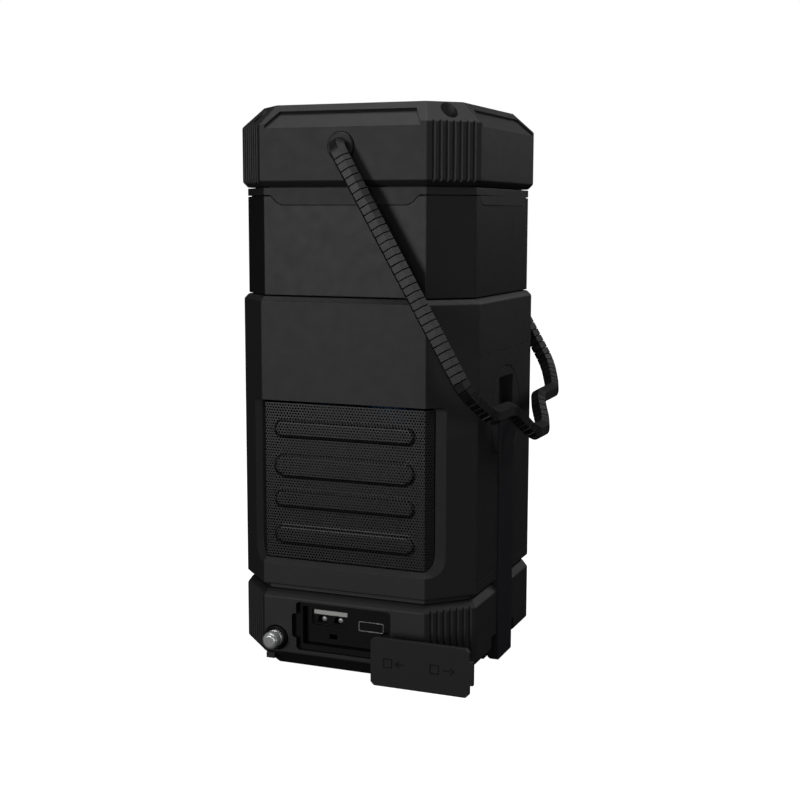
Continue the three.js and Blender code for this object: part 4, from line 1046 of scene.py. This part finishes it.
def makeUsbC():
    front, wall = port["bezelFront"], port["shellWall"]
    shell = portBlock("usbCShell", port["usbC"], front + 0.02, front + 9, -0.02, usbC["round"])
    cutWith(shell, portBlock("boreC", port["usbC"], front - 1, front + 8, -wall, usbC["boreRound"]))
    fit(shell, "lantern", "connectorSteel", "usb_c_shell")
    plug = portBlock("usbCTongue", port["usbC"], front + 0.55, front + 7.5, -wall - 0.03, usbC["tongueRound"])
    fit(plug, "lantern", "bezelPlastic", "usb_c_tongue")


cover = {
    "chamfer": 1.2, "edgeRound": 0.18, "pullLength": 1.3, "pullHalf": 3.9, "markProud": 0.06, "markWide": 0.42,
    "marks": ((22.5, -1), (38.5, 1)), "tipAt": 4.2, "barb": 1.9, "barbTurn": 35,
}


def addMark(x, z, facing):
    # a socket outline with an arrow that runs out of it or into it
    front = boxOf("port_cover")[0].y
    proud, wide = cover["markProud"], cover["markWide"]
    bars = [(-4.2, -3.8, -1.6, 1.6), (-1.4, -1.0, -1.6, 1.6), (-3.8, -1.4, 1.2, 1.6), (-3.8, -1.4, -1.6, -1.2),
            (0.2, 3.2, -wide / 2, wide / 2)]
    parts = []
    for left, right, low, high in bars:
        parts.append(addBlock("bar", (left, front - proud, low), (right, front + 0.3, high)))
    tip = cover["tipAt"] if facing > 0 else 0.0
    for side in (-1, 1):
        far = tip - facing * cover["barb"]
        barb = addBlock("barb", (min(far, tip), front - proud, -wide / 2),
                        (max(far, tip), front + 0.3, wide / 2))
        turn = Matrix.Rotation(math.radians(side * cover["barbTurn"]), 4, 'Y')
        about = Matrix.Translation(Vector((tip, 0, 0)) * mm)
        barb.data.transform(about @ turn @ about.inverted())
        parts.append(barb)
    for part in parts:
        part.data.transform(Matrix.Translation(Vector((x, 0, z)) * mm))
    return parts


def makeCover():
    low, high = boxOf("port_cover")
    slabHigh = high.x - cover["pullLength"]
    slab = addBlock("portCover", low, (slabHigh, high.y, high.z))
    pick(slab, 'EDGE', lambda edge: abs(heading(edge).y) > 0.9)
    bpy.ops.mesh.bevel(offset=cover["chamfer"] * mm, segments=1, affect='EDGES')
    done()
    middleZ = (low.z + high.z) / 2
    joinWith(slab, addBlock("pull", (slabHigh - 1, low.y, middleZ - cover["pullHalf"]),
                            (high.x, high.y, middleZ + cover["pullHalf"])))
    cutWith(slab, straightRod('Y', "stemSeat", (low.y + high.y) / 2, high.y + 1, (port["stemX"], port["stemZ"]),
                              port["stemBore"], 24))
    roundEdges(slab, cover["edgeRound"], 2)
    fit(slab, "cover", "coverRubber", "port_cover")
    marks = [part for x, facing in cover["marks"] for part in addMark(x, middleZ, facing)]
    fit(merged("portCoverMarks", *marks), "cover", "markRubber")


makePortPlate()
makeUsbA()
makeUsbC()
makeCover()
print("ports made")


# --- antenna ---

def makeAntennaEnd():
    low, high = boxOf("antenna_tip")
    x, z = antenna["x"], antenna["z"]
    tip = straightRod('Y', "antennaTip", high.y, high.y - 0.7, (x, z), antenna["tip"], 40)
    pick(tip, 'FACE', lambda face: face.normal.y < -0.9)
    about = dict(center_override=(x * mm, high.y * mm, z * mm))
    shrink = antenna["neck"] / antenna["tip"]
    for step, size in ((0.15, shrink), (0.65, 1), (0.15, 1 / shrink), (high.y - 1.65 - low.y - antenna["dome"], 1)):
        push((0, -step, 0))
        bpy.ops.transform.resize(value=(size, 1, size), **about)
    radius = antenna["tip"]
    bit = math.pi / 2 / (antenna["domeSteps"] + 0.6)
    for count in range(1, antenna["domeSteps"] + 1):
        turn = count * bit
        size = antenna["tip"] - antenna["dome"] * (1 - math.cos(turn))
        push((0, -antenna["dome"] * (math.sin(turn) - math.sin(turn - bit)), 0))
        bpy.ops.transform.resize(value=(size / radius, 1, size / radius), **about)
        radius = size
    done()
    roundEdges(tip, antenna["bevel"], 2, 50)
    fit(tip, "antenna_inner", "antennaChrome", "antenna_tip")
    low, high = boxOf("antenna_socket")
    ring = straightRod('Y', "antennaSocket", low.y, high.y, (x, z), antenna["ring"], 48)
    cutWith(ring, straightRod('Y', "socketBore", low.y - 1, high.y + 1, (x, z), antenna["bore"], 40))
    roundEdges(ring, antenna["ringRound"], 3, 60)
    fit(ring, "lantern", "bezelPlastic", "antenna_socket")


makeAntennaEnd()
print("antenna end made")


# --- control side and underside ---

controls = {
    "windowRound": 1.3, "windowEdge": 0.25, "buttonRadius": 4.0, "buttonRound": 0.5, "dish": 0.25, "dishWall": 0.8,
    "dialRadius": 10.0, "flutes": 36, "fluteRadius": 0.45, "rim": 2.0, "rimStep": 0.5,
    "pointer": (0.4, 3.0, 8.6, 0.8), "shaft": 3.0, "buttonSkirt": 1.2, "buttonSpread": 1.3,
    "tickRadius": 12.6, "ticks": 11, "tickTurn": 25, "longTick": 1.6, "shortTick": 0.9, "tickHalf": 0.2,
}


def makeWindow():
    glass = roundedBlock("displayWindow", *boxOf("display_window"), controls["windowRound"])
    roundEdges(glass, controls["windowEdge"], 2, 50)
    fit(glass, "lantern", "windowPlastic", "display_window")


def makeButton(count):
    low, high = boxOf(f"push_button_{count}")
    x, z = (low.x + high.x) / 2, (low.z + high.z) / 2
    stem, spread = low.y + controls["buttonSkirt"], controls["buttonSpread"]
    button = straightRod('Y', f"pushButton_{count}", stem, high.y, (x, z), controls["buttonRadius"], 40)
    pick(button, 'FACE', lambda face: face.normal.y > 0.9)
    bpy.ops.mesh.inset(thickness=controls["dishWall"] * mm)
    bpy.ops.mesh.inset(thickness=controls["dishWall"] * mm)
    bpy.ops.transform.translate(value=(0, -controls["dish"] * mm, 0))
    pick(button, 'FACE', lambda face: face.normal.y < -0.9)
    push((0, -0.01, 0))
    bpy.ops.transform.resize(value=(spread, 1, spread), center_override=(x * mm, stem * mm, z * mm))
    push((0, 0.01 - controls["buttonSkirt"], 0))
    done()
    roundEdges(button, controls["buttonRound"] * 0.5, 2, 60)
    fit(button, f"button_{count}", "buttonRubber", f"push_button_{count}")


def makeDial():
    low, high = boxOf("tuning_dial")
    z = (low.z + high.z) / 2
    front, radius = halfWidth + seam, controls["dialRadius"]
    dial = straightRod('Y', "tuningDial", front, high.y, (0, z), radius, 72)
    pick(dial, 'FACE', lambda face: face.normal.y > 0.9)
    bpy.ops.mesh.inset(thickness=controls["rim"] * mm)
    bpy.ops.mesh.inset(thickness=controls["rimStep"] * mm)
    bpy.ops.transform.translate(value=(0, -controls["rimStep"] * mm, 0))
    done()
    flutes = []
    for count in range(controls["flutes"]):
        turn = 2 * math.pi * (count + 0.5) / controls["flutes"]
        x, up = radius * math.sin(turn), z + radius * math.cos(turn)
        flutes.append(straightRod('Y', "dialFlute", front - 1, high.y + 1, (x, up), controls["fluteRadius"], 8))
    cutWith(dial, merged("dialFlutes", *flutes))
    half, near, far, deep = controls["pointer"]
    cutWith(dial, addBlock("pointer", (-half, high.y - deep, z + near), (half, high.y + 1, z + far)))
    joinWith(dial, straightRod('Y', "dialShaft", low.y, front + 0.5, (0, z), controls["shaft"], 32))
    fit(dial, "dial", "bezelPlastic", "tuning_dial")


def makeTicks():
    low, high = boxOf("tuning_dial")
    about = Matrix.Translation((0, 0, (low.z + high.z) / 2 * mm))
    half, radius, middleTick = controls["tickHalf"], controls["tickRadius"], controls["ticks"] // 2
    ticks = []
    for count in range(controls["ticks"]):
        long = controls["longTick"] if count % middleTick == 0 else controls["shortTick"]
        tick = addBlock("tick", (-half, halfWidth - 0.1, radius), (half, halfWidth + 0.06, radius + long))
        turn = math.radians((count - middleTick) * controls["tickTurn"])
        tick.data.transform(about @ Matrix.Rotation(turn, 4, 'Y'))
        ticks.append(tick)
    fit(merged("dialTicks", *ticks), "lantern", "markRubber")


pad = {
    "inset": 13.3, "edgeRound": 0.2, "treads": 9, "pitch": 5.0, "treadHalf": 0.6, "treadRun": 22, "treadDeep": 0.35,
}


def makePad():
    low, high = boxOf("base_pad")
    sole = octagonBlock("basePad", low.z, high.z, pad["inset"])
    roundEdges(sole, pad["edgeRound"], 2)
    half, run = pad["treadHalf"], pad["treadRun"]
    bars = []
    for count in range(pad["treads"]):
        y = (count - pad["treads"] // 2) * pad["pitch"]
        bars.append(addBlock("tread", (-run, y - half, -1), (run, y + half, pad["treadDeep"])))
    cutWith(sole, merged("treads", *bars))
    fit(sole, "lantern", "padRubber", "base_pad")


makeWindow()
for count in range(1, 5):
    makeButton(count)
makeDial()
makeTicks()
makePad()
print("controls and pad made")


# --- studio ---

studio = {
    "eye": (179.8, -439.0, 154.3), "yaw": 0.3821, "pitch": 0.1358, "roll": 0.0026, "lens": 60.745,
    "floor": 400.0, "clip": (0.01, 500), "aim": (0, 0, 0.1),
}


def addCamera():
    data = bpy.data.cameras.new("camera")
    data.sensor_width = 36
    data.lens = studio["lens"]
    data.clip_start, data.clip_end = studio["clip"]
    camera = bpy.data.objects.new("camera", data)
    bpy.context.collection.objects.link(camera)
    turn = Matrix.Rotation(studio["yaw"], 4, 'Z') @ Matrix.Rotation(math.pi / 2 - studio["pitch"], 4, 'X')
    camera.matrix_world = (Matrix.Translation(Vector(studio["eye"]) * mm) @ turn
                           @ Matrix.Rotation(studio["roll"], 4, 'Z'))
    bpy.context.scene.camera = camera


def addLight(name, place, size, power):
    data = bpy.data.lights.new(name, 'AREA')
    data.shape = 'RECTANGLE'
    data.size, data.size_y = size
    data.energy = power
    lamp = bpy.data.objects.new(name, data)
    bpy.context.collection.objects.link(lamp)
    lamp.location = place
    lamp.rotation_euler = (Vector(studio["aim"]) - Vector(place)).to_track_quat('-Z', 'Y').to_euler()


def addFloor():
    bpy.ops.mesh.primitive_plane_add(size=studio["floor"])
    floor = settle("floor")
    material = bpy.data.materials.new("floorPaper")
    material.use_nodes = True
    tree = material.node_tree
    shader = tree.nodes["Principled BSDF"]
    coords = tree.nodes.new("ShaderNodeTexCoord").outputs["Object"]
    tree.links.new(addMix(tree, addNoise(tree, coords, 3, 2), (0.30, 0.30, 0.30), (0.32, 0.32, 0.32)),
                   shader.inputs["Base Color"])
    shader.inputs["Roughness"].default_value = 0.9
    shader.inputs["Emission Color"].default_value = (1, 1, 1, 1)
    shader.inputs["Emission Strength"].default_value = 1.0
    floor.data.materials.append(material)
    floor.visible_diffuse = False
    floor.visible_glossy = False


lamps = (
    ("frontLeft", (-0.55, -1.3, 0.25), (0.4, 0.5), 4.4),
    ("top", (0.0, -0.1, 1.5), (1.4, 1.0), 10.5),
    ("upRight", (1.0, 0.3, 1.1), (0.5, 0.6), 2.6),
    ("backRight", (0.75, 1.2, 0.7), (0.8, 0.8), 2.4),
    ("right", (1.4, -0.35, 0.2), (0.5, 0.6), 0.8),
    ("front", (0.45, -1.4, 0.1), (0.8, 0.6), 2.6),
)
world = bpy.data.worlds.new("studio")
world.use_nodes = True
world.node_tree.nodes["Background"].inputs["Color"].default_value = (1, 1, 1, 1)
world.node_tree.nodes["Background"].inputs["Strength"].default_value = 1.0
bpy.context.scene.world = world
world.cycles_visibility.diffuse = False
world.cycles_visibility.glossy = False
bpy.context.scene.view_settings.view_transform = 'Standard'
addCamera()
addFloor()
for lamp in lamps:
    addLight(*lamp)


# --- CAD nodes that stay, each with its finish ---

kept = {
    "shellPlastic": ["top_cap", "collar_band"],
    "panelPlastic": ["crank_cover_panel", "crank_hub", "pivot_bush_front", "pivot_bush_back"],
    "bezelPlastic": ["port_bezel", "usb_c_tongue", "antenna_socket", "crank_knob", "tuning_dial"],
    "armPlastic": ["crank_arm"],
    "smokedPlastic": ["lantern_lens"],
    "windowPlastic": ["display_window"],
    "whitePlastic": ["led_board", "light_column", "usb_a_tongue"],
    "gearPlastic": ["drive_gear"],
    "padRubber": ["base_pad"],
    "coverRubber": ["port_cover", "port_cover_stem"],
    "buttonRubber": ["push_button_1", "push_button_2", "push_button_3", "push_button_4"],
    "sleeveRubber": ["bail_sleeve"],
    "grillePaint": ["speaker_grille"],
    "frameCoat": ["speaker_frame"],
    "frameSteel": ["gear_plate", "wire_retainer_front", "wire_retainer_back", "bail_wire"],
    "pinSteel": ["crank_hinge_pin", "knob_pin", "crank_shaft"],
    "screwSteel": ["cap_screw_front_right", "cap_screw_back_right", "cap_screw_back_left",
                   "cap_screw_front_left"],
    "connectorSteel": ["usb_a_shell", "usb_c_shell"],
    "antennaChrome": ["antenna_tube", "antenna_section_1", "antenna_section_2", "antenna_section_3",
                      "antenna_tip"],
    "dynamoSteel": ["dynamo"],
    "magnetIron": ["speaker_magnet"],
    "pinionBrass": ["dynamo_pinion"],
    "coneBlack": ["speaker_cone"],
    "cellWrap": ["battery_cell_1", "battery_cell_2"],
    "boardGreen": ["main_board", "port_board"],
}
for finish, nodes in kept.items():
    for node in nodes:
        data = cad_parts[node].data
        data.materials.clear()
        data.materials.append(finishes[finish])

print("studio ready")
